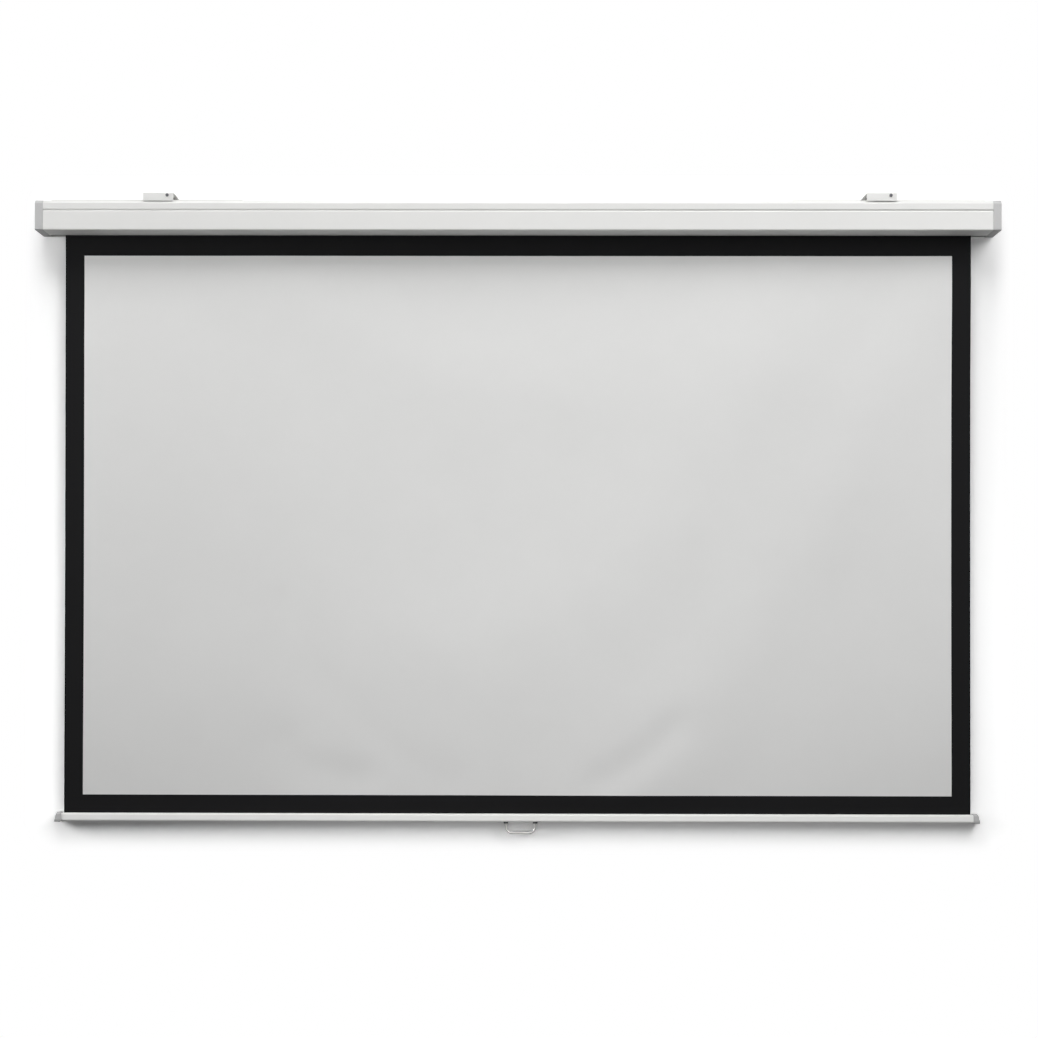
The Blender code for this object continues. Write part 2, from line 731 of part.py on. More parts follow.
def make_roller(roller):
    """Make the keyed tube, the spline in its keyway and the turns of fabric left on it."""
    tube = extruded("roller_tube", tube_loops(), 2 * TUBE_END, 0.0, ALUMINIUM)
    hang_on(tube, roller)
    centre = (AXIS_Y, AXIS_Z + keyway_centre())
    spline_loop = arc(centre, KEYWAY_RADIUS - FIT_GAP, 0, 2 * math.pi, 12)[:-1]
    spline = extruded("fabric_spline", [spline_loop], FABRIC_WIDTH, 0.0, BLACK_PLASTIC)
    hang_on(spline, roller)

    # The turns wind inward from the sheet's tangent point at the back of the roller
    outer = []
    inner = []
    for step in range(WRAP_TURNS * WRAP_STEPS + 1):
        angle = 2 * math.pi * step / WRAP_STEPS
        radius = WRAP_RADIUS - WRAP_PITCH * step / WRAP_STEPS
        for side, line in ((0.5, outer), (-0.5, inner)):
            reach = radius + side * FABRIC_THICKNESS
            line.append((AXIS_Y + reach * math.cos(angle), AXIS_Z + reach * math.sin(angle)))
    wraps = extruded("fabric_wraps", [outer + inner[::-1]], FABRIC_WIDTH, 0.0, BLACK_FABRIC)
    hang_on(wraps, roller)
    print(f"fabric_wraps: gap between turns {(WRAP_PITCH - FABRIC_THICKNESS) * 1000:.2f} mm")


def make_idle_end(roller):
    """Make the plug, pin and bush at the right end."""
    right = (CAP_FACE, AXIS_Y, AXIS_Z)
    pin = IDLE_PIN / 2
    bush_bore = pin + FIT_GAP
    bush_radius = bush_bore + BUSH_WALL
    seat = cylinder(
        "end_cap_right_seat",
        bush_radius + FIT_GAP,
        (CAP_FACE - CUT_OVERRUN, AXIS_Y, AXIS_Z),
        (CAP_FACE + BUSH_LENGTH + FIT_GAP, AXIS_Y, AXIS_Z),
    )
    cut(bpy.data.objects["end_cap_right"], seat)
    bush_profile = [
        (-BUSH_LENGTH, bush_radius),
        (-FIT_GAP, bush_radius),
        (-FIT_GAP, bush_bore),
        (-BUSH_LENGTH, bush_bore),
    ]
    turned("idle_bearing", bush_profile, right, (1, 0, 0), WHITE_PLASTIC, steps=24)

    plug_start = CAP_FACE - TUBE_END - FIT_GAP
    plug_end = plug_start + PLUG_REACH
    inner = TUBE_RADIUS - TUBE_WALL - FIT_GAP
    hub_start = IDLE_PIN_COLLAR + 2 * FIT_GAP
    plug_profile = [
        (hub_start, IDLE_HUB_RADIUS),
        (plug_start - PLUG_FLANGE, IDLE_HUB_RADIUS),
        (plug_start - PLUG_FLANGE, TUBE_RADIUS),
        (plug_start, TUBE_RADIUS),
        (plug_start, inner),
        (plug_end - PLUG_CHAMFER, inner),
        (plug_end, inner - PLUG_CHAMFER),
        (plug_end, bush_bore),
        (hub_start, bush_bore),
    ]
    plug = turned("idle_plug", plug_profile, right, (1, 0, 0), BLACK_PLASTIC)
    cut(plug, key_tool("idle_plug_key", TUBE_END, -1))
    hang_on(plug, roller)

    pin_profile = [
        (-BUSH_LENGTH, 0.0),
        (-BUSH_LENGTH, pin - PIN_CHAMFER),
        (-BUSH_LENGTH + PIN_CHAMFER, pin),
        (FIT_GAP, pin),
        (FIT_GAP, bush_radius),
        (FIT_GAP + IDLE_PIN_COLLAR, bush_radius),
        (FIT_GAP + IDLE_PIN_COLLAR, pin),
        (plug_end - PIN_CHAMFER, pin),
        (plug_end, pin - PIN_CHAMFER),
        (plug_end, 0.0),
    ]
    pin_piece = turned("idle_pin", pin_profile, right, (1, 0, 0), BRIGHT_STEEL, closed=False, steps=24)
    hang_on(pin_piece, roller)


def stretch(share, length, first, last, count):
    """Return the place of an even grid share so that the outer two strips have their own widths."""
    if share < 0.5 / count:
        return 0.0
    if share > 1 - 0.5 / count:
        return length
    inner = (share * count - 1) / (count - 2)
    return first + (length - first - last) * inner


def make_sheet():
    """Make the hanging sheet with its borders and its shallow sagging waves."""
    top_strip = SHEET_TOP - CASE_BOTTOM + TOP_BORDER
    height = SHEET_TOP - BAR_TOP - FIT_GAP
    mesh = bpy.data.meshes.new("screen_fabric")
    shape = bmesh.new()
    bmesh.ops.create_grid(shape, x_segments=SHEET_COLUMNS, y_segments=SHEET_ROWS, size=0.5)
    for corner in shape.verts:
        across = stretch(corner.co.x + 0.5, FABRIC_WIDTH, SIDE_BORDER, SIDE_BORDER, SHEET_COLUMNS)
        down = stretch(0.5 - corner.co.y, height, top_strip, BOTTOM_BORDER, SHEET_ROWS)
        side = 2 * across / FABRIC_WIDTH - 1
        fall = down / height
        wave = math.sin(2 * math.pi * WAVE_COUNT * (fall + WAVE_SAG * side**2))
        lean = WAVE_DEPTH * wave * math.sin(math.pi * fall) ** 2
        corner.co = (across - FABRIC_WIDTH / 2, lean, -down)
    left = SIDE_BORDER - FABRIC_WIDTH / 2
    for face in shape.faces:
        middle = face.calc_center_median()
        bordered = abs(middle.x) > abs(left) or middle.z > -top_strip
        face.material_index = int(bordered or middle.z < BOTTOM_BORDER - height)
    shape.normal_update()
    shape.to_mesh(mesh)
    shape.free()
    sheet = mesh_piece("screen_fabric", mesh, WHITE_FABRIC)
    mesh.materials.append(BLACK_FABRIC)
    sheet.location = (0.0, SHEET_Y, SHEET_TOP)
    thickness = sheet.modifiers.new("thickness", "SOLIDIFY")
    thickness.thickness = FABRIC_THICKNESS
    thickness.offset = 0.0
    thickness.material_offset = 1


def bar_outline(rim=0.0):
    """Return the bar's closed outer line without its mouth, grown by a rim."""
    half = BAR_DEPTH / 2
    shoulder = half - BAR_SHOULDER_INSET
    right = [
        (BAR_TOP_FLAT / 2, BAR_TOP),
        (shoulder, BAR_TOP - BAR_SHOULDER),
        (half, BAR_TOP - BAR_BELLY),
        (half - BAR_FOOT_INSET, BAR_BOTTOM),
    ]
    radii = [BAR_TOP_RADIUS, EDGE_RADIUS, BAR_BELLY_RADIUS, BAR_FOOT_RADIUS]
    corners = [(SHEET_Y + y, z) for y, z in right] + [(SHEET_Y - y, z) for y, z in reversed(right)]
    grown = offset_path(corners, rim, closed=True)
    return round_corners(grown, radii + radii[::-1], steps=3)


def hollow_outline(inset=0.0):
    """Return the bar's hollow, which passes under the hem channel, drawn in by an inset."""
    half = BAR_DEPTH / 2 - BAR_WALL
    around = CHANNEL_RADIUS + CHANNEL_WALL
    start = math.pi - CHANNEL_WEB_LIFT
    channel = arc((SHEET_Y, CHANNEL_Z), around, start, 3 * math.pi - start, 10)
    right = [
        (half - BAR_SHOULDER_INSET, BAR_TOP - BAR_SHOULDER - BAR_WALL / 2),
        (half, BAR_TOP - BAR_BELLY),
        (half - BAR_FOOT_INSET, BAR_BOTTOM + BAR_WALL),
    ]
    radii = [BAR_HOLLOW_RADIUS, BAR_BELLY_RADIUS - BAR_WALL, BAR_FOOT_RADIUS - BAR_WALL]
    corners = [(SHEET_Y + y, z) for y, z in right] + [(SHEET_Y - y, z) for y, z in reversed(right)]
    loop = round_corners(corners, radii + radii[::-1], steps=3) + channel
    return offset_path(loop, -inset, closed=True)


def make_bar(bar_axis):
    """Make the hollow bar, the hem in its channel and its two caps."""
    mouth = CHANNEL_HALF_MOUTH
    throat = math.asin(mouth / CHANNEL_RADIUS)
    up = math.pi / 2
    channel = arc((SHEET_Y, CHANNEL_Z), CHANNEL_RADIUS, up + throat, up + 2 * math.pi - throat, 16)
    section = [(SHEET_Y + mouth, BAR_TOP)] + bar_outline() + [(SHEET_Y - mouth, BAR_TOP)] + channel
    bar = extruded("bottom_bar", [section, hollow_outline()], 2 * BAR_END, 0.0, WHITE_PAINT)
    hang_on(bar, bar_axis)

    # The hem's two layers lie against each other above the rod
    layer = FABRIC_THICKNESS
    tail = math.asin(layer / HEM_OUTER)
    hem = arc((SHEET_Y, CHANNEL_Z), HEM_OUTER, up + tail, up + 2 * math.pi - tail, 16)
    hem += [(SHEET_Y + layer, BAR_TOP), (SHEET_Y - layer, BAR_TOP)]
    hem_hole = arc((SHEET_Y, CHANNEL_Z), HEM_INNER, 0, 2 * math.pi, 16)[:-1]
    hang_on(extruded("fabric_hem", [hem, hem_hole], FABRIC_WIDTH, 0.0, BLACK_FABRIC), bar_axis)
    rod = arc((SHEET_Y, CHANNEL_Z), HEM_ROD / 2, 0, 2 * math.pi, 16)[:-1]
    hang_on(extruded("hem_rod", [rod], FABRIC_WIDTH, 0.0, BRIGHT_STEEL), bar_axis)

    for name, side in (("bar_cap_left", -1), ("bar_cap_right", 1)):
        start = BAR_END + FIT_GAP
        middle = start + BAR_CAP_LENGTH / 2
        cap = extruded(name, [bar_outline(BAR_CAP_RIM)], BAR_CAP_LENGTH, side * middle, CAP_PLASTIC)
        for corner in cap.data.vertices:
            if corner.co.z * side > 0:
                rise = (corner.co.y - BAR_BOTTOM) / BAR_HEIGHT
                corner.co.z -= side * BAR_CAP_TAPER * rise
        plug_middle = start - BAR_CAP_PLUG / 2 + BAR_WALL / 2
        plug = extruded(
            f"{name}_plug", [hollow_outline(FIT_GAP)], BAR_CAP_PLUG + BAR_WALL, side * plug_middle
        )
        fuse(cap, plug)
        hang_on(cap, bar_axis)
    return bar


def make_handle(bar, bar_axis, handle_axis):
    """Make the wire bail, the slots that it comes out of and the blocks that hold its pins."""
    half = HANDLE_WIDTH / 2
    middle = HANDLE_RIGHT_OF_MIDDLE
    radius = HANDLE_WIRE / 2
    bottom = BAR_BOTTOM - HANDLE_DROP
    pin_end = half + HANDLE_BEND + HANDLE_PIN
    corners = [
        (middle - pin_end, HANDLE_AXIS_Z),
        (middle - half, HANDLE_AXIS_Z),
        (middle - half, bottom),
        (middle + half, bottom),
        (middle + half, HANDLE_AXIS_Z),
        (middle + pin_end, HANDLE_AXIS_Z),
    ]
    radii = [0, HANDLE_BEND, HANDLE_CORNER, HANDLE_CORNER, HANDLE_BEND, 0]
    path = round_corners(corners, radii, closed=False, steps=5)
    points = [(x, SHEET_Y, z) for x, z in path]
    handle = wire("pull_handle", points, HANDLE_WIRE, 3, BRIGHT_WIRE)
    hang_on(handle, handle_axis)

    # The slot is as long as the leg's swing needs where it leaves the bar
    below_axis = HANDLE_AXIS_Z - BAR_BOTTOM
    reach = below_axis * math.tan(HANDLE_SWING) + radius / math.cos(HANDLE_SWING) + RUNNING_GAP
    side_room = radius + HANDLE_SLOT_SIDE
    clip_start = half + HANDLE_BEND + FIT_GAP
    depth = BAR_DEPTH / 2 - BAR_WALL - CLIP_SIDE_ROOM
    bore = radius + FIT_GAP
    for name, side in (("left", -1), ("right", 1)):
        leg = middle + side * half
        slot = box(
            f"bottom_bar_slot_{name}",
            (leg - side_room, SHEET_Y - reach, BAR_BOTTOM - CUT_OVERRUN),
            (leg + side_room, SHEET_Y + reach, BAR_BOTTOM + BAR_WALL + CUT_OVERRUN),
        )
        cut(bar, slot)
        near, far = sorted((middle + side * clip_start, middle + side * (clip_start + CLIP_LENGTH)))
        clip = box(
            f"handle_clip_{name}",
            (near, SHEET_Y - depth, CLIP_BOTTOM),
            (far, SHEET_Y + depth, CLIP_TOP),
            BLACK_PLASTIC,
        )
        mouth = (middle + side * (clip_start - CUT_OVERRUN), SHEET_Y, HANDLE_AXIS_Z)
        end = (middle + side * (pin_end + FIT_GAP), SHEET_Y, HANDLE_AXIS_Z)
        cut(clip, cylinder(f"handle_clip_{name}_bore", bore, mouth, end))
        hang_on(clip, bar_axis)


def make_rail(name, middle_x):
    """Make a rail: a channel with inward lips and a stop across each end of its floor."""
    half = RAIL_WIDTH / 2
    wall = RAIL_WALL
    mouth = RAIL_MOUTH / 2
    floor = CASE_TOP + FIT_GAP
    right = [
        (half, floor),
        (half, RAIL_TOP),
        (mouth, RAIL_TOP),
        (mouth, RAIL_TOP - wall),
        (half - wall, RAIL_TOP - wall),
        (half - wall, floor + wall),
    ]
    loop = [(RAIL_Y + y, z) for y, z in right] + [(RAIL_Y - y, z) for y, z in reversed(right)]
    rail = extruded(name, [loop], RAIL_LENGTH, middle_x, WHITE_PAINT)
    for number, side in enumerate((-1, 1)):
        end = middle_x + side * RAIL_LENGTH / 2
        near, far = sorted((end, end - side * RAIL_STOP))
        stop = box(
            f"{name}_stop_{number}",
            (near, RAIL_Y - mouth, floor + wall / 2),
            (far, RAIL_Y + mouth, RAIL_TOP - wall - RUNNING_GAP),
        )
        fuse(rail, stop)


def make_bracket(side_name, middle_x, axis):
    """Make a folded bracket, the shoe that slides in the rail and the screw that joins them."""
    path = round_corners(
        [(CASE_FRONT, -BRACKET_LIP), (CASE_FRONT, 0.0), (0.0, 0.0), (0.0, -BRACKET_FLANGE)],
        [0, BRACKET_BEND, BRACKET_BEND, 0],
        closed=False,
    )
    inner = offset_path(path, -BRACKET_SHEET)
    name = f"bracket_{side_name}"
    bracket = extruded(name, [path + inner[::-1]], BRACKET_WIDTH, middle_x, WHITE_PAINT)
    screw_x = middle_x + BRACKET_WIDTH / 2 - LOCK_SCREW_FROM_EDGE
    screw_hole = LOCK_SCREW / 2 + FIT_GAP
    hole = cylinder(
        f"{name}_hole",
        screw_hole,
        (screw_x, CASE_FRONT - CUT_OVERRUN, LOCK_SCREW_Z),
        (screw_x, CASE_FRONT + BRACKET_SHEET + CUT_OVERRUN, LOCK_SCREW_Z),
    )
    cut(bracket, hole)
    depth = BRACKET_SHEET + 2 * CUT_OVERRUN
    for number, side in enumerate((-1, 1)):
        x = middle_x + side * SCREW_SLOT_SPREAD / 2
        wall_slot = slot_tool(
            f"{name}_wall_slot_{number}",
            (x, -BRACKET_SHEET / 2, -WALL_SLOT_BELOW),
            SCREW_SLOT_WIDTH,
            SCREW_SLOT_LENGTH,
            depth,
            "Y",
        )
        ceiling_slot = slot_tool(
            f"{name}_ceiling_slot_{number}",
            (x, -CEILING_SLOT_BEFORE, -BRACKET_SHEET / 2),
            SCREW_SLOT_WIDTH,
            SCREW_SLOT_LENGTH,
            depth,
            "Z",
        )
        cut(bracket, wall_slot, ceiling_slot)
    hang_on(bracket, axis)

    foot = RAIL_WIDTH / 2 - RAIL_WALL - RUNNING_GAP
    neck = RAIL_MOUTH / 2 - RUNNING_GAP
    block = SHOE_BLOCK_DEPTH / 2
    foot_bottom = CASE_TOP + FIT_GAP + RAIL_WALL + RUNNING_GAP
    foot_top = RAIL_TOP - RAIL_WALL - RUNNING_GAP
    right = [
        (foot, foot_bottom),
        (foot, foot_top),
        (neck, foot_top),
        (neck, SHOE_BLOCK_BOTTOM),
        (block, SHOE_BLOCK_BOTTOM + SHOE_RELIEF),
        (block, SHOE_TOP),
    ]
    loop = [(RAIL_Y + y, z) for y, z in right] + [(RAIL_Y - y, z) for y, z in reversed(right)]
    shoe = extruded(f"bracket_shoe_{side_name}", [loop], SHOE_LENGTH, middle_x, BLACK_PLASTIC)
    thread = cylinder(
        f"bracket_shoe_{side_name}_thread",
        screw_hole,
        (screw_x, SHOE_FRONT - CUT_OVERRUN, LOCK_SCREW_Z),
        (screw_x, SHOE_FRONT + LOCK_SCREW_GRIP + FIT_GAP, LOCK_SCREW_Z),
    )
    cut(shoe, thread)
    hang_on(shoe, axis)

    head = LOCK_SCREW_HEAD / 2
    tall = LOCK_SCREW_HEAD_HEIGHT
    shank = LOCK_SCREW / 2
    tip = SHOE_FRONT + LOCK_SCREW_GRIP - (CASE_FRONT - FIT_GAP)
    profile = [
        (-tall, 0.0),
        (-tall, head * 0.7),
        (-tall * 0.6, head * 0.94),
        (-tall * 0.3, head),
        (0.0, head),
        (0.0, shank),
        (tip - PIN_CHAMFER, shank),
        (tip, shank - PIN_CHAMFER),
        (tip, 0.0),
    ]
    place = (screw_x, CASE_FRONT - FIT_GAP, LOCK_SCREW_Z)
    screw = turned(f"lock_screw_{side_name}", profile, place, (0, -1, 0), DARK_STEEL, closed=False, steps=20)
    hang_on(screw, axis)


for old in list(bpy.data.objects):
    bpy.data.objects.remove(old)

PARTS = add_collection("projector_screen")
TOOLS = add_collection("cutters")

WHITE_PAINT = material("white_paint", (0.76, 0.76, 0.75), 0.38)
CAP_PLASTIC = material("grey_plastic", (0.48, 0.48, 0.48), 0.5)
WHITE_FABRIC = material("white_fabric", (0.80, 0.80, 0.80), 0.9)
BLACK_FABRIC = material("black_fabric", (0.011, 0.011, 0.011), 0.85)
BLACK_PLASTIC = material("black_plastic", (0.03, 0.03, 0.03), 0.55)
WHITE_PLASTIC = material("white_plastic", (0.72, 0.72, 0.70), 0.5)
DARK_STEEL = material("dark_steel", (0.07, 0.07, 0.07), 0.4, 1.0)
BRIGHT_STEEL = material("bright_steel", (0.55, 0.55, 0.55), 0.35, 1.0)
BRIGHT_WIRE = material("bright_wire", (0.62, 0.62, 0.62), 0.3, 1.0)
ALUMINIUM = material("aluminium", (0.66, 0.67, 0.68), 0.4, 1.0)

roller_axis = add_axis("roller_axis", (0.0, AXIS_Y, AXIS_Z))
bar_axis = add_axis("bar_axis", (0.0, SHEET_Y, BAR_TOP))
handle_axis = add_axis("handle_axis", (HANDLE_RIGHT_OF_MIDDLE, SHEET_Y, HANDLE_AXIS_Z))
hang_on(handle_axis, bar_axis)

make_case()
make_end_cap("end_cap_left", -1)
make_end_cap("end_cap_right", 1)
make_spring_end(roller_axis)
make_roller(roller_axis)
make_idle_end(roller_axis)
make_sheet()
bottom_bar = make_bar(bar_axis)
make_handle(bottom_bar, bar_axis, handle_axis)

rail_middle = RAIL_OUTER_END - RAIL_LENGTH / 2
make_rail("bracket_rail_left", -rail_middle)
make_rail("bracket_rail_right", rail_middle)
left_x = LEFT_BRACKET_INSET - RAIL_OUTER_END
right_x = RAIL_OUTER_END - RIGHT_BRACKET_INSET
for bracket_side, bracket_x in (("left", left_x), ("right", right_x)):
    bracket_axis = add_axis(f"bracket_axis_{bracket_side}", (bracket_x, RAIL_Y, RAIL_TOP))
    make_bracket(bracket_side, bracket_x, bracket_axis)
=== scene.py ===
"""Looks of a pull-down projector screen: white case, bordered sheet, weighted bar, wire handle, brackets.

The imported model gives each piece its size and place. This file gives each its finish, adds the bezels
round the handle's legs, and makes anew the pieces whose surface needs more than flat facets: the hanging
sheet with its slack, its hem and its wound turns, the wire handle, the coil spring, the screws, and eased
copies of the folded, extruded and moulded pieces.

Sizes are in metres, or in millimetres where a name ends in mm. X runs to the viewer's right and Z up, Y = 0
is the wall, and the viewer is at -Y.
"""
import json
import logging
import math
from dataclasses import dataclass, field
from enum import Enum
from typing import Any, Sequence

import bmesh
import bpy
import numpy as np
from bpy.types import Material, Mesh, NodeSocket, NodeTree, Object
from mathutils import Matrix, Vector

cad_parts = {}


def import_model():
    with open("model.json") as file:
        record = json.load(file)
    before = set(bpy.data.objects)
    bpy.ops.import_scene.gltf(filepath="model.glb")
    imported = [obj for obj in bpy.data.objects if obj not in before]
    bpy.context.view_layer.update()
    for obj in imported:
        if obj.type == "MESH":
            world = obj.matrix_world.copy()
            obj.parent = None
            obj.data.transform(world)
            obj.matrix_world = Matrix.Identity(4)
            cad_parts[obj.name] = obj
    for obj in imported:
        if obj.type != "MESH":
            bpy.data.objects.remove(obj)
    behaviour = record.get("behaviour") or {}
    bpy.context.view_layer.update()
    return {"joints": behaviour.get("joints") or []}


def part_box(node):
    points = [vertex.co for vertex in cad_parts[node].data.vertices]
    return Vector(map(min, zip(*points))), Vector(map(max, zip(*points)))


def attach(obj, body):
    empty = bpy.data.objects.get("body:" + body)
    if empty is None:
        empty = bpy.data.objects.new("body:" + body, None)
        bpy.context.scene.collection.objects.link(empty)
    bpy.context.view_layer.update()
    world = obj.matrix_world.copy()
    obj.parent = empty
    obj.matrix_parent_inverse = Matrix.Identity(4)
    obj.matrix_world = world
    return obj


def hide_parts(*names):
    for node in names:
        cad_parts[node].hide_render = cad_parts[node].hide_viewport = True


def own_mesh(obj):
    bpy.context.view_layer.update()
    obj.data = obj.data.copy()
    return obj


LOG = logging.getLogger("projector_screen")
MM = 0.001
Y_AXIS = np.array([0.0, 1.0, 0.0])
WHITE = (1.0, 1.0, 1.0, 1.0)

# Points of a mesh that are closer than this become one
MERGE_DISTANCE = 0.005 * MM
# Flat facets that differ in direction by less than this become one face
FLAT_DEGREES = 0.5
# Strips across an eased edge
EASE_STRIPS = 2
# The chamfer at a wire's ends, as a share of its thickness
WIRE_CHAMFER = 0.1
# Cross sections along a carried slab
SLAB_SECTIONS = 25
# Most of a noise texture's output lies between these values
NOISE_LOW, NOISE_HIGH = 0.3, 0.7
# The Mix node repeats its sockets for each kind of value; these are the numbers of its colour sockets. The
# two values of the Math node share one name, so they go by number as well, 0 and 1
FIRST_COLOUR, SECOND_COLOUR, MIXED_COLOUR = 6, 7, 2


class Side(Enum):
    """The left and right ends of the screen, as the viewer sees them."""

    LEFT = "left"
    RIGHT = "right"


class Grain(Enum):
    """How a finish's fine relief runs: the share of its scale kept along X, Y and Z."""

    EVEN = (1.0, 1.0, 1.0)
    ALONG_X = (0.02, 1.0, 1.0)


class Body(Enum):
    """The moving bodies of the screen."""

    CASE = "case"
    ROLLER = "roller"
    WEIGHT_BAR = "weight_bar"
    HANDLE = "handle"
    LEFT_MOUNT = "left_mount"
    RIGHT_MOUNT = "right_mount"


def linear(hex_colour: str) -> tuple[float, float, float, float]:
    """Turn an sRGB hex colour into linear RGBA.

    Args:
        hex_colour: Six hex digits after a hash.

    Returns:
        Red, green and blue by the sRGB curve, and an alpha of 1.
    """
    shares = [int(hex_colour[at:at + 2], 16) / 255 for at in (1, 3, 5)]
    red, green, blue = (s / 12.92 if s <= 0.04045 else ((s + 0.055) / 1.055) ** 2.4 for s in shares)
    return red, green, blue, 1.0


def add_node(tree: NodeTree, kind: str, inputs: dict[Any, Any] | None = None, **settings: Any) -> Any:
    """Add a shader node, set its properties, and set or link its inputs.

    Args:
        tree: The material's or world's node tree.
        kind: The node's type without its ShaderNode prefix.
        inputs: Socket name or number to a value, or to the output socket that feeds it.
        settings: The node's own properties.

    Returns:
        The new node.
    """
    node = tree.nodes.new(f"ShaderNode{kind}")
    for name, value in settings.items():
        setattr(node, name, value)
    for key, value in (inputs or {}).items():
        if isinstance(value, NodeSocket):
            tree.links.new(value, node.inputs[key])
        else:
            node.inputs[key].default_value = value
    return node


def new_tree(name: str) -> tuple[Material, NodeTree]:
    """Start a material that has no nodes yet.

    Args:
        name: The material's name.

    Returns:
        The material and its node tree.
    """
    material = bpy.data.materials.new(name)
    material.use_nodes = True
    material.node_tree.nodes.clear()
    return material, material.node_tree


def seen_by(tree: NodeTree, *kinds: str) -> NodeSocket:
    """Tell some kinds of ray from all others, as the greatest of their switches.

    Args:
        tree: The material's or world's node tree.
        kinds: The kinds of ray, as the Light Path node calls them.

    Returns:
        1 for these kinds of ray and 0 for the rest.
    """
    rays = add_node(tree, "LightPath").outputs
    seen: Any = 0.0
    for kind in kinds:
        switch = rays[f"Is {kind} Ray"]
        seen = add_node(tree, "Math", {0: seen, 1: switch}, operation="MAXIMUM").outputs[0]
    return seen


def smooth_step(share: np.ndarray) -> np.ndarray:
    """Return three times the share's square less twice its cube, which eases from 0 to 1."""
    return share**2 * (3 - 2 * share)


@dataclass(frozen=True)
class Finish:
    """A painted, moulded or metal surface with fine relief and slow changes of tone.

    The tone is the written colour mixed with a darker shade of it by a slow noise; the relief is a fine
    noise in Object coordinates, read as height, which also swings the roughness.
    """

    name: str
    colour: str
    shade: str
    roughness: float
    roughness_swing: float = 0.05
    metallic: float = 0.0
    specular: float = 0.5
    grain_mm: float = 4.0
    grain_height_mm: float = 0.05
    grain: Grain = Grain.EVEN
    tone_mm: float = 120.0

    def make(self) -> Material:
        """Build the finish.

        Returns:
            The new material.
        """
        material, tree = new_tree(self.name)
        place = add_node(tree, "TexCoord").outputs["Object"]
        squeezed = add_node(tree, "Mapping", {"Vector": place, "Scale": self.grain.value}).outputs["Vector"]
        slow = {"Vector": place, "Scale": 1 / (self.tone_mm * MM), "Detail": 3.0, "Roughness": 0.6}
        tone = add_node(tree, "TexNoise", slow).outputs["Fac"]
        shades = {"Factor": tone, FIRST_COLOUR: linear(self.colour), SECOND_COLOUR: linear(self.shade)}
        colour = add_node(tree, "Mix", shades, data_type="RGBA").outputs[MIXED_COLOUR]
        fine = {"Vector": squeezed, "Scale": 1 / (self.grain_mm * MM), "Detail": 2.0, "Roughness": 0.5}
        grain = add_node(tree, "TexNoise", fine).outputs["Fac"]
        low, high = self.roughness - self.roughness_swing, self.roughness + self.roughness_swing
        swing = {"Value": grain, "From Min": NOISE_LOW, "From Max": NOISE_HIGH, "To Min": low, "To Max": high}
        relief = {"Strength": 1.0, "Distance": self.grain_height_mm * MM, "Height": grain}
        shader = add_node(
            tree,
            "BsdfPrincipled",
            {
                "Base Color": colour,
                "Roughness": add_node(tree, "MapRange", swing).outputs["Result"],
                "Metallic": self.metallic,
                "Specular IOR Level": self.specular,
                "Normal": add_node(tree, "Bump", relief).outputs["Normal"],
            },
        )
        add_node(tree, "OutputMaterial", {"Surface": shader.outputs["BSDF"]})
        return material


# The real grains, 0.05 to 1 mm across, are finer than a pixel of the picture. Each is drawn at the grain_mm
# written here, so that it shows.

# Steel sheet under satin powder coat: an even white skin with a faint orange peel that softens highlights.
CASE_PAINT = Finish("satin_powder_coat", "#EBEBE9", "#E8E8E6", 0.42, grain_mm=5.0, grain_height_mm=0.012)
# Aluminium extrusion under the case's kind of coat: the die's lines run along it, so its sheen streaks
# lengthwise.
# Its colour is written lighter than the case's coat: painted light, for the light that the bar's face
# catches.
LIGHTENED_BAR_PAINT = Finish(
    "coated_extrusion_lightened", "#F7F7F5", "#F2F2F0", 0.38, grain_mm=2.5, grain_height_mm=0.012, grain=Grain.ALONG_X
)
# Moulded ABS with a spark-eroded texture: light grey, without gloss.
CAP_ABS = Finish("moulded_abs", "#C4C4C4", "#BFBFBF", 0.52, grain_mm=2.0, grain_height_mm=0.05, tone_mm=40.0)
# Bar caps in the same ABS, a little darker than the case's.
BAR_CAP_ABS = Finish(
    "moulded_abs_bar", "#BDBDBD", "#B6B6B6", 0.5, grain_mm=2.0, grain_height_mm=0.05, tone_mm=30.0
)
# Acetal bush: slightly waxy natural white.
ACETAL = Finish("acetal", "#DEDDD8", "#D6D5CF", 0.45, grain_mm=2.0, grain_height_mm=0.02, tone_mm=20.0)
# Glass-filled nylon: black with a dry, faintly mottled skin.
NYLON = Finish("black_nylon", "#222224", "#1A1A1C", 0.55, grain_mm=1.2, grain_height_mm=0.04, tone_mm=15.0)
# Black-oxide steel: dark, oily grey with a dull shine.
BLACK_OXIDE = Finish(
    "black_oxide_steel", "#737376", "#626265", 0.45, metallic=1.0,
    grain_mm=1.0, grain_height_mm=0.01, tone_mm=6.0,
)
# Zinc-plated steel: pale grey metal with a soft cloudy shine.
ZINC = Finish(
    "zinc_plated_steel", "#C4C5C8", "#B2B4B8", 0.34, metallic=1.0, grain_mm=3.0, grain_height_mm=0.01
)
# Nickel-plated wire: bright, its shine broken by the faint unevenness of the plating.
NICKEL = Finish(
    "nickel_plated_wire", "#C2C1BF", "#B5B4B1", 0.24, metallic=1.0,
    grain_mm=2.0, grain_height_mm=0.005, tone_mm=20.0,
)
# Oil-tempered spring wire: grey steel with a darker blue-grey cast where the heat has coloured it.
SPRING_STEEL = Finish(
    "oil_tempered_wire", "#8E9094", "#77797F", 0.36, metallic=1.0,
    grain_mm=1.0, grain_height_mm=0.01, tone_mm=25.0,
)
# Mill-finish drawn aluminium: silvery, streaked along its length.
DRAWN_ALUMINIUM = Finish(
    "drawn_aluminium", "#C9CBCD", "#BBBDC0", 0.36, metallic=1.0,
    grain_mm=1.5, grain_height_mm=0.01, grain=Grain.ALONG_X,
)


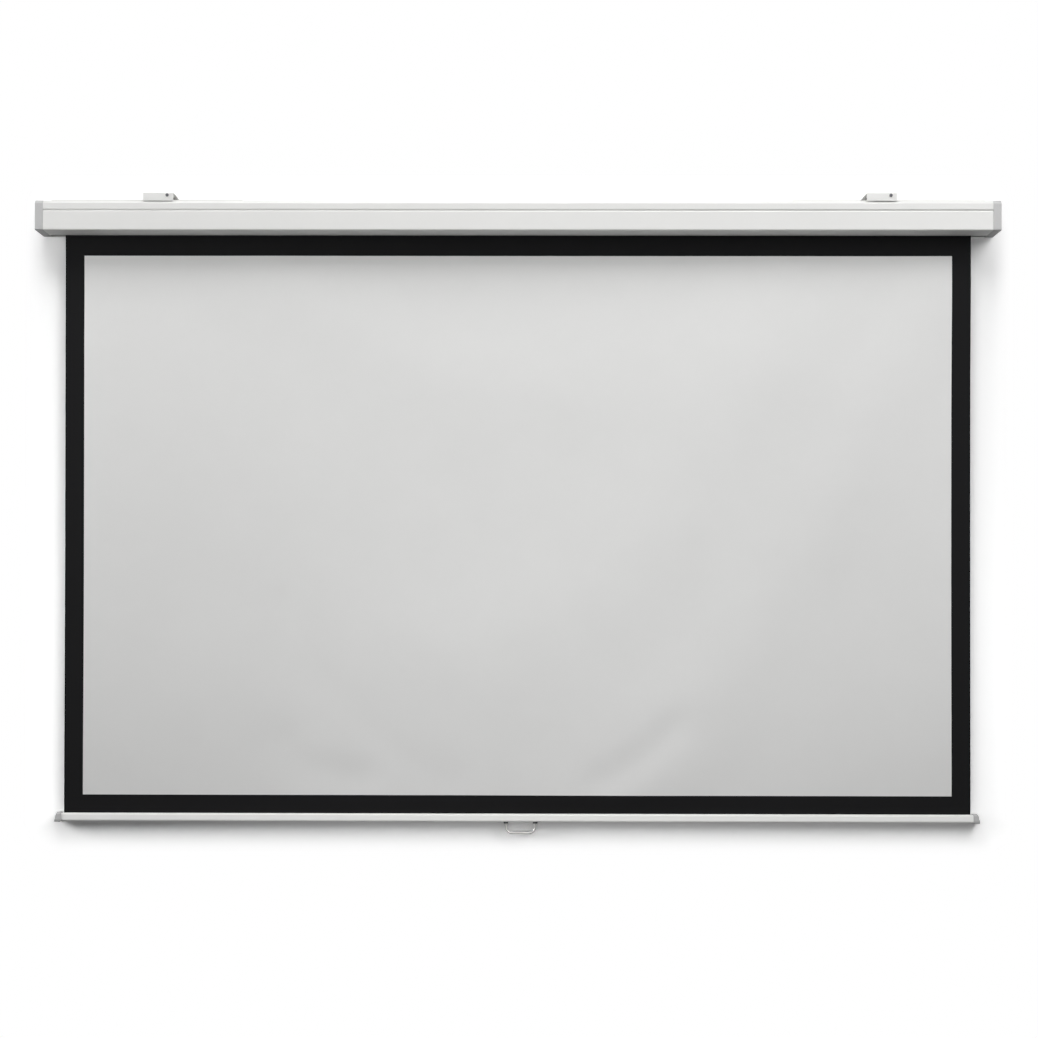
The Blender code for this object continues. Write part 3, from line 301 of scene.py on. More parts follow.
class Palette:
    """The materials, each made once from its finish."""

    def __init__(self) -> None:
        """Start with no material."""
        self.made: dict[str, Material] = {}

    def of(self, finish: Finish) -> Material:
        """Find a finish's material, or make it at its first use.

        Args:
            finish: The finish.

        Returns:
            Its one material.
        """
        if finish.name not in self.made:
            self.made[finish.name] = finish.make()
        return self.made[finish.name]


@dataclass(frozen=True)
class ProjectionCloth:
    """Matt PVC-coated glass cloth: a white face with a printed black border, and a black back.

    It reads the cloth's own UV map, in metres from the sheet's lower left corner, and the attribute
    that is 1 on the face and 0 on the back, so that the border follows the cloth when it is squeezed.
    The side, top and bottom are the border's widths.
    """

    width: float
    height: float
    white: str = "#EEEEED"
    white_shade: str = "#EAEAE9"
    border: str = "#1E1E1F"
    back: str = "#1C1C1D"
    side: float = 0.050
    top: float = 0.0917
    bottom: float = 0.048
    cloud_mm: float = 1000 / 7
    thread_mm: float = 4.0
    thread_height_mm: float = 0.03
    white_roughness: float = 0.92
    dark_roughness: float = 0.78
    specular: float = 0.05

    def framed(self, tree: NodeTree, place: NodeSocket) -> NodeSocket:
        """Tell the picture area from its printed border, as the product of a test at each of its edges.

        Args:
            tree: The material's nodes.
            place: The place on the flat cloth, in metres.

        Returns:
            1 inside the border and 0 on it.
        """
        split = add_node(tree, "SeparateXYZ", {"Vector": place}).outputs
        edges = (
            ("X", "GREATER_THAN", self.side),
            ("X", "LESS_THAN", self.width - self.side),
            ("Y", "GREATER_THAN", self.bottom),
            ("Y", "LESS_THAN", self.height - self.top),
        )
        inside: Any = 1.0
        for axis, test, edge in edges:
            past = add_node(tree, "Math", {0: split[axis], 1: edge}, operation=test).outputs[0]
            inside = add_node(tree, "Math", {0: inside, 1: past}, operation="MULTIPLY").outputs[0]
        return inside

    def make(self) -> Material:
        """Build the cloth's finish: white inside the border, black outside it and on the back.

        Returns:
            The new material.
        """
        material, tree = new_tree("coated_glass_cloth")
        place = add_node(tree, "UVMap", uv_map="cloth").outputs["UV"]
        mark = add_node(tree, "Attribute", attribute_name="cloth_face").outputs["Fac"]
        face = add_node(tree, "Math", {0: mark, 1: 0.5}, operation="GREATER_THAN").outputs[0]
        both = {0: self.framed(tree, place), 1: face}
        inside = add_node(tree, "Math", both, operation="MULTIPLY").outputs[0]

        # The coat pools and thins by a percent or two over a hand's width
        pools = {"Vector": place, "Scale": 1 / (self.cloud_mm * MM), "Detail": 3.0, "Roughness": 0.55}
        cloud = add_node(tree, "TexNoise", pools).outputs["Fac"]
        coat = {"Factor": cloud, FIRST_COLOUR: linear(self.white), SECOND_COLOUR: linear(self.white_shade)}
        white = add_node(tree, "Mix", coat, data_type="RGBA").outputs[MIXED_COLOUR]
        ink = {"Factor": face, FIRST_COLOUR: linear(self.back), SECOND_COLOUR: linear(self.border)}
        dark = add_node(tree, "Mix", ink, data_type="RGBA").outputs[MIXED_COLOUR]
        printed = {"Factor": inside, FIRST_COLOUR: dark, SECOND_COLOUR: white}
        colour = add_node(tree, "Mix", printed, data_type="RGBA").outputs[MIXED_COLOUR]

        # Threads lie 0.5 mm apart under the coat; their grain is drawn at 4 mm so that the picture holds it
        weave = {"Vector": place, "Scale": 1 / (self.thread_mm * MM), "Detail": 2.0, "Roughness": 0.6}
        threads = add_node(tree, "TexNoise", weave).outputs["Fac"]
        relief = {"Strength": 1.0, "Distance": self.thread_height_mm * MM, "Height": threads}
        sheen = {"Value": inside, "To Min": self.dark_roughness, "To Max": self.white_roughness}
        shader = add_node(
            tree,
            "BsdfPrincipled",
            {
                "Base Color": colour,
                "Roughness": add_node(tree, "MapRange", sheen).outputs["Result"],
                "Specular IOR Level": self.specular,
                "Normal": add_node(tree, "Bump", relief).outputs["Normal"],
            },
        )
        add_node(tree, "OutputMaterial", {"Surface": shader.outputs["BSDF"]})
        return material


def new_piece(name: str, mesh: Mesh, material: Material, body: Body) -> Object:
    """Link a mesh as a finished piece that rides on a body.

    Args:
        name: The piece's name.
        mesh: Its mesh, already in place.
        material: Its finish.
        body: The body that it moves with.

    Returns:
        The new object, at the origin.
    """
    piece = bpy.data.objects.new(name, mesh)
    bpy.context.scene.collection.objects.link(piece)
    mesh.materials.clear()
    mesh.materials.append(material)
    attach(piece, body.value)
    LOG.info("piece %s: %d faces on %s", name, len(mesh.polygons), body.value)
    return piece


def stands_for(piece: Object, node: str) -> Object:
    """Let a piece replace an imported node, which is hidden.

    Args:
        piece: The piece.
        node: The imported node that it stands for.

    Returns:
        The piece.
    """
    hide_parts(node)
    return piece


def middle_of(node: str) -> np.ndarray:
    """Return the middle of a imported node's box."""
    return np.mean([np.array(corner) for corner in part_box(node)], axis=0)


def grid_faces(rows: int, columns: int, wrap: bool = False) -> np.ndarray:
    """Return the quads of a grid of points.

    Args:
        rows: Points along the first parameter.
        columns: Points along the second parameter.
        wrap: Whether the second parameter closes on itself.

    Returns:
        An array of four point numbers a face.
    """
    numbers = np.arange(rows * columns).reshape(rows, columns)
    if wrap:
        numbers = np.concatenate([numbers, numbers[:, :1]], axis=1)
    corners = [numbers[:-1, :-1], numbers[:-1, 1:], numbers[1:, 1:], numbers[1:, :-1]]
    return np.stack(corners, axis=-1).reshape(-1, 4)


def mesh_from(name: str, points: np.ndarray, faces: Sequence[Any], sharp_degrees: float = 40.0) -> Mesh:
    """Return a smooth mesh of points and faces, with edges sharper than an angle kept hard.

    Args:
        name: The mesh's name.
        points: One row of X, Y and Z a point.
        faces: Point numbers of each face.
        sharp_degrees: The angle past which an edge stays hard.

    Returns:
        The mesh, with its doubles merged and its faces turned outwards.
    """
    mesh = bpy.data.meshes.new(name)
    mesh.from_pydata(points.tolist(), [], [list(face) for face in faces])
    shape = bmesh.new()
    shape.from_mesh(mesh)
    bmesh.ops.remove_doubles(shape, verts=shape.verts, dist=MERGE_DISTANCE)
    bmesh.ops.recalc_face_normals(shape, faces=shape.faces)
    shape.to_mesh(mesh)
    shape.free()
    mesh.shade_smooth()
    mesh.set_sharp_from_angle(angle=math.radians(sharp_degrees))
    return mesh


def round_wire(name: str, path: np.ndarray, beside: np.ndarray, wire: float, sides: int) -> Mesh:
    """Carry a ring along a path: the path's point plus the wire's radius at each angle round it.

    Args:
        name: The mesh's name.
        path: The wire's centreline, one row a point.
        beside: A direction square to the path at each point, from which the ring's angle is measured.
        wire: The wire's thickness.
        sides: Points a ring.

    Returns:
        The wire's mesh, its two ends closed by small chamfers.
    """
    ahead = np.gradient(path, axis=0)
    ahead /= np.linalg.norm(ahead, axis=1, keepdims=True)
    other = np.cross(ahead, beside)
    angles = np.linspace(0, 2 * math.pi, sides, endpoint=False)[None, :, None]
    round_it = np.cos(angles) * beside[:, None, :] + np.sin(angles) * other[:, None, :]
    rings = path[:, None, :] + wire / 2 * round_it
    chamfer = WIRE_CHAMFER * wire
    first = path[0] + (wire / 2 - chamfer) * round_it[0] - chamfer * ahead[0]
    last = path[-1] + (wire / 2 - chamfer) * round_it[-1] + chamfer * ahead[-1]
    points = np.concatenate([first[None], rings, last[None]]).reshape(-1, 3)
    faces = [list(face) for face in grid_faces(len(path) + 2, sides, wrap=True)]
    faces += [list(range(sides)), list(range(len(points) - sides, len(points)))]
    return mesh_from(name, points, faces)


def carried_slab(name: str, line: np.ndarray, low_x: float, high_x: float, thickness: float) -> Mesh:
    """Carry a thin strip's section along X: the line moved half its thickness to each side of itself.

    Args:
        name: The mesh's name.
        line: The section's middle line, one row of Y and Z a point.
        low_x: Where the slab starts.
        high_x: Where it ends.
        thickness: The strip's thickness.

    Returns:
        The closed slab's mesh.
    """
    ahead = np.gradient(line, axis=0)
    ahead /= np.linalg.norm(ahead, axis=1, keepdims=True)
    side = np.stack([-ahead[:, 1], ahead[:, 0]], axis=-1) * thickness / 2
    section = np.concatenate([line + side, (line - side)[::-1]])
    count = len(section)
    places = np.repeat(np.linspace(low_x, high_x, SLAB_SECTIONS), count)
    points = np.column_stack([places, np.tile(section, (SLAB_SECTIONS, 1))])
    faces = [list(face) for face in grid_faces(SLAB_SECTIONS, count, wrap=True)]
    half = np.arange(len(line) - 1)
    cap = np.stack([half, half + 1, count - 2 - half, count - 1 - half], axis=-1)
    faces += [list(face) for face in np.concatenate([cap, cap[:, ::-1] + len(points) - count])]
    return mesh_from(name, points, faces, sharp_degrees=60)


def eased_copy(
    node: str, body: Body, material: Material, edge_mm: float, angle: float = 35.0
) -> Object:
    """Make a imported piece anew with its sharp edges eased, as folding, extruding or moulding leaves them.

    Args:
        node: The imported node.
        body: The body that it moves with.
        material: The piece's finish.
        edge_mm: How far from each edge the easing starts, in millimetres.
        angle: The least angle in degrees between two faces at which their edge is eased.

    Returns:
        The piece, which replaces the node.
    """
    mesh = bpy.data.objects[node].data.copy()
    mesh.name = f"{node}_draft"
    shape = bmesh.new()
    shape.from_mesh(mesh)
    bmesh.ops.remove_doubles(shape, verts=shape.verts, dist=MERGE_DISTANCE)
    flat = math.radians(FLAT_DEGREES)
    bmesh.ops.dissolve_limit(
        shape, angle_limit=flat, verts=shape.verts, edges=shape.edges, delimit={"NORMAL"}
    )
    shape.to_mesh(mesh)
    shape.free()
    packed_normals = mesh.attributes.get("custom_normal")
    if packed_normals:
        mesh.attributes.remove(packed_normals)
    mesh.shade_smooth()
    draft = bpy.data.objects.new(f"{node}_draft", mesh)
    bpy.context.scene.collection.objects.link(draft)
    ease = draft.modifiers.new("eased_edges", "BEVEL")
    ease.width = edge_mm * MM
    ease.segments = EASE_STRIPS
    ease.limit_method = "ANGLE"
    ease.angle_limit = math.radians(angle)
    ease.use_clamp_overlap = True
    even = draft.modifiers.new("even_normals", "WEIGHTED_NORMAL")
    even.keep_sharp = True
    bpy.context.view_layer.update()
    seen = draft.evaluated_get(bpy.context.evaluated_depsgraph_get())
    eased = bpy.data.meshes.new_from_object(seen)
    bpy.data.objects.remove(draft)
    return stands_for(new_piece(f"{node}_eased", eased, material, body), node)


def dress(node: str, material: Material) -> None:
    """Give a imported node, whose shape stays, its finish.

    Args:
        node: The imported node.
        material: Its finish.
    """
    materials = bpy.data.objects[node].data.materials
    materials.clear()
    materials.append(material)
    LOG.info("node %s: %s", node, material.name)


@dataclass
class CrossScrew:
    """A pan-head screw with a cross recess, as a surface of radius and angle.

    The head's height falls off as a flattened dome of the radius, and the recess is cut where a place
    lies within half a blade's width of either arm of the cross and inside the recess's reach. The dome's
    fall, the recess's depth and the rim's height are shares of the head's height. The blade, its soft edge,
    the reach and the rim are shares of the head's radius, and the tip one of the shank's.
    """

    node: str
    body: Body
    outward: tuple[float, float, float]
    head_height: float
    shank_radius: float
    rings: int = 26
    sides: int = 72
    dome_fall: float = 0.55
    dome_power: int = 4
    half_blade: float = 0.11
    soft_edge: float = 0.03
    recess_reach: float = 0.55
    recess_depth: float = 0.45
    rim_height: float = 0.12
    rim_radius: float = 0.97
    tip_radius: float = 0.4

    def make(self, material: Material) -> Object:
        """Build the head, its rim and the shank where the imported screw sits.

        Args:
            material: The screw's finish.

        Returns:
            The screw, which replaces the plain turned one.
        """
        low, high = (np.array(corner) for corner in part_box(self.node))
        outward = np.array(self.outward)
        size = high - low
        whole = float(np.abs(size @ outward))
        radius = float(size[0]) / 2
        face = (low + high) / 2 + outward * (whole / 2 - self.head_height)

        angle = np.linspace(0, 2 * math.pi, self.sides, endpoint=False)
        reach, turn = np.meshgrid(np.linspace(0, radius, self.rings), angle, indexing="ij")
        across, up = reach * np.cos(turn), reach * np.sin(turn)
        dome = self.head_height * (1 - self.dome_fall * (reach / radius) ** self.dome_power)
        arm = np.minimum(np.abs(across), np.abs(up))
        soft = self.soft_edge * radius
        inside = 1 / (1 + np.exp((arm - self.half_blade * radius) / soft))
        inside /= 1 + np.exp((reach - self.recess_reach * radius) / soft)
        head = np.stack([across, up, dome - self.recess_depth * self.head_height * inside], axis=-1)

        tip = self.head_height - whole
        outline = np.array([
            (radius, self.head_height * self.rim_height),
            (radius * self.rim_radius, 0.0),
            (self.shank_radius, 0.0),
            (self.shank_radius, tip + self.shank_radius),
            (self.shank_radius * self.tip_radius, tip),
        ])
        ring = np.stack([np.cos(angle), np.sin(angle), np.zeros(self.sides)], axis=-1)
        below = outline[:, None, :1] * ring[None] + outline[:, None, 1:] * np.array([0.0, 0.0, 1.0])
        points = np.concatenate([head, below]).reshape(-1, 3)
        faces = [list(quad) for quad in grid_faces(self.rings + len(outline), self.sides, wrap=True)]
        faces.append(list(range(len(points) - self.sides, len(points))))
        turned = np.array(Vector(self.outward).to_track_quat("Z", "Y").to_matrix())
        name = f"{self.node}_crossed"
        mesh = mesh_from(name, points @ turned.T + face, faces, sharp_degrees=50)
        return stands_for(new_piece(name, mesh, material, self.body), self.node)


@dataclass
class Case:
    """The white case: housing and cover, their end caps with a screw each, and the rails on top."""

    shell_edge_mm: float = 0.25
    cap_edge_mm: float = 0.5
    rail_edge_mm: float = 0.2
    screw_head: float = 0.0022
    screw_shank: float = 0.0015

    def make(self, palette: Palette) -> None:
        """Build and dress the case's pieces.

        Args:
            palette: The materials.
        """
        paint = palette.of(CASE_PAINT)
        for node in ("rear_housing", "front_cover"):
            eased_copy(node, Body.CASE, paint, self.shell_edge_mm)
        for side in Side:
            eased_copy(
                f"end_cap_{side.value}", Body.CASE, palette.of(CAP_ABS), self.cap_edge_mm
            )
            eased_copy(f"bracket_rail_{side.value}", Body.CASE, paint, self.rail_edge_mm)
            screw = CrossScrew(
                f"cap_screw_{side.value}", Body.CASE, (0, 0, -1), self.screw_head, self.screw_shank
            )
            screw.make(palette.of(BLACK_OXIDE))


@dataclass
class Roller:
    """The keyed tube with its plugs, lock unit, pins and torsion spring."""

    spring_pitch: float = 0.0105
    spring_wire: float = 0.0022
    spring_radius: float = 0.00845
    steps_a_turn: int = 40
    spring_sides: int = 12

    def make_spring(self, material: Material) -> Object:
        """Wind the spring: a helix of one radius, its angle growing by a full turn each pitch along X.

        Args:
            material: The spring's finish.

        Returns:
            The spring, which replaces the coarser coil.
        """
        low, high = (np.array(corner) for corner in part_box("torsion_spring"))
        start, end = low[0] + self.spring_wire / 2, high[0] - self.spring_wire / 2
        middle = middle_of("torsion_spring")
        turns = (end - start) / self.spring_pitch
        angle = np.linspace(0, 2 * math.pi * turns, int(turns * self.steps_a_turn) + 1)
        out = np.stack([np.zeros_like(angle), np.cos(angle), np.sin(angle)], axis=-1)
        path = out * self.spring_radius + np.array([0.0, middle[1], middle[2]])
        path[:, 0] = np.linspace(start, end, len(angle))
        mesh = round_wire("coil_spring", path, out, self.spring_wire, self.spring_sides)
        spring = new_piece("coil_spring", mesh, material, Body.CASE)
        return stands_for(spring, "torsion_spring")

    def make(self, palette: Palette) -> None:
        """Dress the roller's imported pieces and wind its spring.

        Args:
            palette: The materials.
        """
        inner = {
            "roller_tube": DRAWN_ALUMINIUM,
            "fabric_spline": NYLON,
            "lock_unit": NYLON,
            "idle_plug": NYLON,
            "idle_pin": ZINC,
            "spring_arbor": ZINC,
            "spring_anchor": NYLON,
            "idle_bearing": ACETAL,
        }
        for node, finish in inner.items():
            dress(node, palette.of(finish))
        self.make_spring(palette.of(SPRING_STEEL))


@dataclass(frozen=True)
class Fold:
    """One soft fold of the slack cloth: a ridge, or a furrow where its height is negative.

    Its line is a quadratic curve through X and Z, (1-t)^2 start + 2t(1-t) pull + t^2 end, and its
    profile a Gaussian of the distance to that line, whose half width goes evenly from first to last.
    """

    start: tuple[float, float]
    pull: tuple[float, float]
    end: tuple[float, float]
    widths: tuple[float, float]
    height: float
    steps: int = 24

    def relief(self, x: np.ndarray, z: np.ndarray) -> np.ndarray:
        """Return how far the fold stands out at each place.

        Args:
            x: Places across, in metres.
            z: Heights, in metres.

        Returns:
            The fold's height there, from the nearest point of its line.
        """
        t = np.linspace(0, 1, self.steps + 1)[:, None]
        start, pull, end = (np.array(point) for point in (self.start, self.pull, self.end))
        line = (1 - t) ** 2 * start + 2 * t * (1 - t) * pull + t**2 * end
        nearest, at = np.full(x.shape, np.inf), np.zeros(x.shape)
        for step, (here, after) in enumerate(zip(line[:-1], line[1:])):
            ahead = after - here
            share = np.clip(((x - here[0]) * ahead[0] + (z - here[1]) * ahead[1]) / (ahead @ ahead), 0, 1)
            away = (x - here[0] - share * ahead[0]) ** 2 + (z - here[1] - share * ahead[1]) ** 2
            at = np.where(away < nearest, (step + share) / self.steps, at)
            nearest = np.minimum(nearest, away)
        width = self.widths[0] + (self.widths[1] - self.widths[0]) * at
        return self.height * np.exp(-nearest / width**2)


@dataclass
class ProjectionSheet:
    """The cloth: the hanging sheet, the turns left on the roller and the hem round the bar's rod.

    The sheet's depth is the sum of its folds, which the slack cloth makes between its two held edges:
    nested swags that hang from the upper corners and short furrows that rise from the bar. They die
    out at the roller and at the bar. Between them the cloth leans back by a few millimetres, as a sine of
    the fall that ends in a squared cosine, and less towards its sides, so that its folds stay clear of the
    roller when the bar is up. Fades and leans are shares of the fall.

    The hem's neck, half of which is a share of the cloth's thickness, starts to open at one share of its
    circle's radius above the rod's middle and meets the circle at another.
    """

    thickness: float = 0.0004
    columns: int = 260
    rows: int = 175
    wound_turns: float = 2.0
    wound_pitch: float = 0.0009
    wound_steps: int = 96
    sharp_degrees: float = 50.0
    fade_at_roller: float = 0.16
    fade_at_bar: float = 0.03
    lean: float = 0.0081
    lean_reached: float = 0.3
    lean_kept_to: float = 0.55
    lean_spared_at_sides: float = 0.5
    lean_side_power: int = 8
    neck_half: float = 0.55
    neck_opens_at: float = 1.18
    neck_ends_at: float = 0.77
    neck_steps: int = 16
    hem_steps: int = 49
    folds: tuple[Fold, ...] = (
        Fold((-0.867, -0.444), (-0.184, -1.936), (0.672, -0.459), (0.152, 0.200), 0.0048),
        Fold((1.231, 0.024), (0.621, -1.317), (0.151, -1.688), (0.114, 0.145), 0.0045),
        Fold((-1.095, -0.397), (-1.028, -1.003), (-0.823, -1.236), (0.111, 0.199), 0.0036),
        Fold((-0.645, -0.151), (-0.334, -0.667), (0.691, -0.387), (0.092, 0.196), 0.0046),
        Fold((-0.621, -1.056), (-0.481, -1.419), (-0.169, -1.543), (0.022, 0.048), -0.0022),
        Fold((-0.625, -1.439), (-0.578, -1.533), (-0.402, -1.531), (0.048, 0.050), -0.0028),
        Fold((0.226, -1.543), (0.324, -1.499), (0.420, -1.400), (0.050, 0.050), -0.0036),
    )
    width: float = field(init=False)
    plane_y: float = field(init=False)
    top: float = field(init=False)
    bottom: float = field(init=False)

    def __post_init__(self) -> None:
        """Take the sheet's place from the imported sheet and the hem's rod."""
        low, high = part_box("screen_fabric")
        self.width = high.x - low.x
        self.top, self.bottom = high.z, low.z
        self.plane_y = middle_of("hem_rod")[1]

    def depth(self, x: np.ndarray, z: np.ndarray) -> np.ndarray:
        """Return how far the cloth stands out towards the viewer at each place.

        Args:
            x: Places across, in metres.
            z: Heights, in metres.

        Returns:
            The folds' sum, faded to nothing at the roller and at the bar, less the lean.
        """
        fall = (self.top - z) / (self.top - self.bottom)
        above = np.clip(fall / self.fade_at_roller, 0, 1)
        below = np.clip((1 - fall) / self.fade_at_bar, 0, 1)
        folds = sum(fold.relief(x, z) for fold in self.folds) * smooth_step(above) * below
        leaving = np.sin(math.pi / 2 * np.clip(fall / self.lean_reached, 0, 1))
        back = (fall - self.lean_kept_to) / (1 - self.lean_kept_to)
        spared = self.lean_spared_at_sides * (2 * x / self.width) ** self.lean_side_power
        lean = self.lean * (1 - spared) * leaving * np.cos(math.pi / 2 * np.clip(back, 0, 1)) ** 2
        return folds - lean

    def mark_face(self, mesh: Mesh, flat: np.ndarray, face: np.ndarray) -> None:
        """Store each point's place on the flat cloth, and whether it is on the face.

        Args:
            mesh: The cloth's mesh.
            flat: The place across and up in metres, one row a point.
            face: 1 on the face and 0 on the back, one a point.
        """
        marks = mesh.attributes.new("cloth_face", "FLOAT", "POINT")
        marks.data.foreach_set("value", face.astype(np.float32))
        corners = np.zeros(len(mesh.loops), dtype=np.int32)
        mesh.loops.foreach_get("vertex_index", corners)
        layer = mesh.uv_layers.new(name="cloth")
        layer.data.foreach_set("uv", flat[corners].astype(np.float32).ravel())

    def make_sheet(self, material: Material) -> Object:
        """Build the slab from a front grid, a back grid and the rim between them.

        Args:
            material: The cloth's finish.

        Returns:
            The sheet, which replaces the plain solid.
        """
        x, z = np.meshgrid(
            np.linspace(-self.width / 2, self.width / 2, self.columns + 1),
            np.linspace(self.bottom, self.top, self.rows + 1),
        )
        y = self.plane_y - self.depth(x, z)
        half = self.thickness / 2
        front = np.stack([x, y - half, z], axis=-1).reshape(-1, 3)
        back = np.stack([x, y + half, z], axis=-1).reshape(-1, 3)
        count = len(front)
        quads = grid_faces(self.rows + 1, self.columns + 1)
        numbers = np.arange(count).reshape(self.rows + 1, self.columns + 1)
        loop = np.concatenate([numbers[0, :-1], numbers[:-1, -1], numbers[-1, :0:-1], numbers[:0:-1, 0]])
        after = np.roll(loop, -1)
        rim = np.stack([loop, loop + count, after + count, after], axis=-1)
        mesh = bpy.data.meshes.new("projection_sheet")
        faces = np.concatenate([quads, quads[:, ::-1] + count, rim])
        mesh.from_pydata(np.concatenate([front, back]).tolist(), [], faces.tolist())
        mesh.shade_smooth()
        mesh.set_sharp_from_angle(angle=math.radians(self.sharp_degrees))
        flat = np.stack([x + self.width / 2, z - self.bottom], axis=-1).reshape(-1, 2)
        self.mark_face(mesh, np.concatenate([flat, flat]), np.repeat([1.0, 0.0], count))
        sheet = new_piece("projection_sheet", mesh, material, Body.CASE)
        return stands_for(sheet, "screen_fabric")

    def carry(self, name: str, node: str, body: Body, line: np.ndarray, material: Material) -> Object:
        """Carry the cloth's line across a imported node's width, with the cloth's black back all over it.

        Args:
            name: The piece's name.
            node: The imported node.
            body: The body that the piece moves with.
            line: The cloth's line, one row of Y and Z a point.
            material: The cloth's finish.

        Returns:
            The piece, which replaces the node.
        """
        low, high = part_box(node)
        mesh = carried_slab(name, line, low.x, high.x, self.thickness)
        count = len(mesh.vertices)
        self.mark_face(mesh, np.zeros((count, 2)), np.zeros(count))
        return stands_for(new_piece(name, mesh, material, body), node)

    def make_turns(self, material: Material) -> Object:
        """Wind the turns left on the roller: a spiral whose radius shrinks by one pitch a turn.

        Args:
            material: The cloth's finish.

        Returns:
            The turns, which replace the coarser winding.
        """
        axis = middle_of("roller_tube")[1:]
        steps = int(self.wound_steps * self.wound_turns)
        angle = np.linspace(0, 2 * math.pi * self.wound_turns, steps + 1)
        radius = self.plane_y - axis[0] - self.wound_pitch * angle / (2 * math.pi)
        line = axis + radius[:, None] * np.stack([np.cos(angle), np.sin(angle)], axis=-1)
        return self.carry("wound_turns", "fabric_wraps", Body.ROLLER, line, material)

    def make_hem(self, material: Material) -> Object:
        """Fold the hem: a narrow neck that opens smoothly into a circle round the rod.

        Args:
            material: The cloth's finish.

        Returns:
            The hem, which replaces the coarser loop.
        """
        low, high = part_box("fabric_hem")
        outer = (high.y - low.y) / 2
        radius = outer - self.thickness / 2
        middle_z = low.z + outer
        neck = np.linspace(high.z - middle_z, self.neck_ends_at * radius, self.neck_steps)
        opening = (self.neck_opens_at - neck / radius) / (self.neck_opens_at - self.neck_ends_at)
        circle = np.sqrt(np.maximum(radius**2 - neck**2, 0))
        narrow = self.neck_half * self.thickness
        side = np.maximum(narrow, circle * smooth_step(np.clip(opening, 0, 1)))
        start = math.acos(self.neck_ends_at)
        angle = np.linspace(start, 2 * math.pi - start, self.hem_steps)[1:-1]
        front = np.stack([-side, neck], axis=-1)
        bowl = radius * np.stack([-np.sin(angle), np.cos(angle)], axis=-1)
        line = np.concatenate([front, bowl, front[::-1] * np.array([-1.0, 1.0])])
        line += np.array([self.plane_y, middle_z])
        return self.carry("hem_loop", "fabric_hem", Body.WEIGHT_BAR, line, material)

    def make(self, travel: float) -> None:
        """Build the three pieces of cloth.

        Args:
            travel: How far the bar rises, in metres. Not used.
        """
        height = self.top - self.bottom
        cloth = ProjectionCloth(self.width, height).make()
        turns, hem = self.make_turns(cloth), self.make_hem(cloth)
        sheet = self.make_sheet(cloth)
        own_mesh(sheet)


@dataclass
class WeightBar:
    """The bar that keeps the sheet taut, with its caps, hem rod and the blocks that hold the handle."""

    bar_edge_mm: float = 0.2
    cap_edge_mm: float = 0.35

    def make(self, palette: Palette) -> None:
        """Build and dress the bar's pieces.

        Args:
            palette: The materials.
        """
        # The bar's coat is written lighter than the case's: painted light.
        eased_copy("bottom_bar", Body.WEIGHT_BAR, palette.of(LIGHTENED_BAR_PAINT), self.bar_edge_mm)
        for side in Side:
            eased_copy(
                f"bar_cap_{side.value}",
                Body.WEIGHT_BAR,
                palette.of(BAR_CAP_ABS),
                self.cap_edge_mm,
            )
            dress(f"handle_clip_{side.value}", palette.of(NYLON))
        dress("hem_rod", palette.of(ZINC))


@dataclass
class LegBezel:
    """A black rim under the bar round each slot that a leg of the handle passes through.

    Each section point is carried round the slot as a rounded rectangle, with the cosine and the sine of
    the angle raised to a small power and scaled to the point's two half widths.
    """

    squareness: float = 0.4
    points_round: int = 72

    # From the slot's lip down inside, across the foot and up outside: half width, half depth and height
    section_mm: tuple[tuple[float, float, float], ...] = (
        (4.35, 7.7, 0.0),
        (4.35, 9.6, -4.2),
        (4.65, 9.9, -4.5),
        (6.1, 11.5, -4.5),
        (6.5, 11.9, -4.1),
        (6.5, 11.9, 0.0),
    )

    def make(self, name: str, leg_x: float, material: Material) -> Object:
        """Build one bezel.

        Args:
            name: The piece's name.
            leg_x: The leg's place along the bar.
            material: The bezel's finish.

        Returns:
            The bezel, which moves with the bar.
        """
        bar_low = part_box("bottom_bar")[0]
        angle = np.linspace(0, 2 * math.pi, self.points_round, endpoint=False)
        cosine, sine = np.cos(angle), np.sin(angle)
        across = np.sign(cosine) * np.abs(cosine) ** self.squareness
        deep = np.sign(sine) * np.abs(sine) ** self.squareness
        section = np.array(self.section_mm + self.section_mm[:1]) * MM
        half_width, half_depth, height = section.T[:, :, None]
        points = np.stack([half_width * across, half_depth * deep, height + 0 * across], axis=-1)
        place = np.array([leg_x, middle_of("pull_handle")[1], bar_low.z])
        faces = grid_faces(len(section), self.points_round, wrap=True)
        mesh = mesh_from(name, points.reshape(-1, 3) + place, faces, sharp_degrees=30)
        bezel = new_piece(name, mesh, material, Body.WEIGHT_BAR)
        return bezel


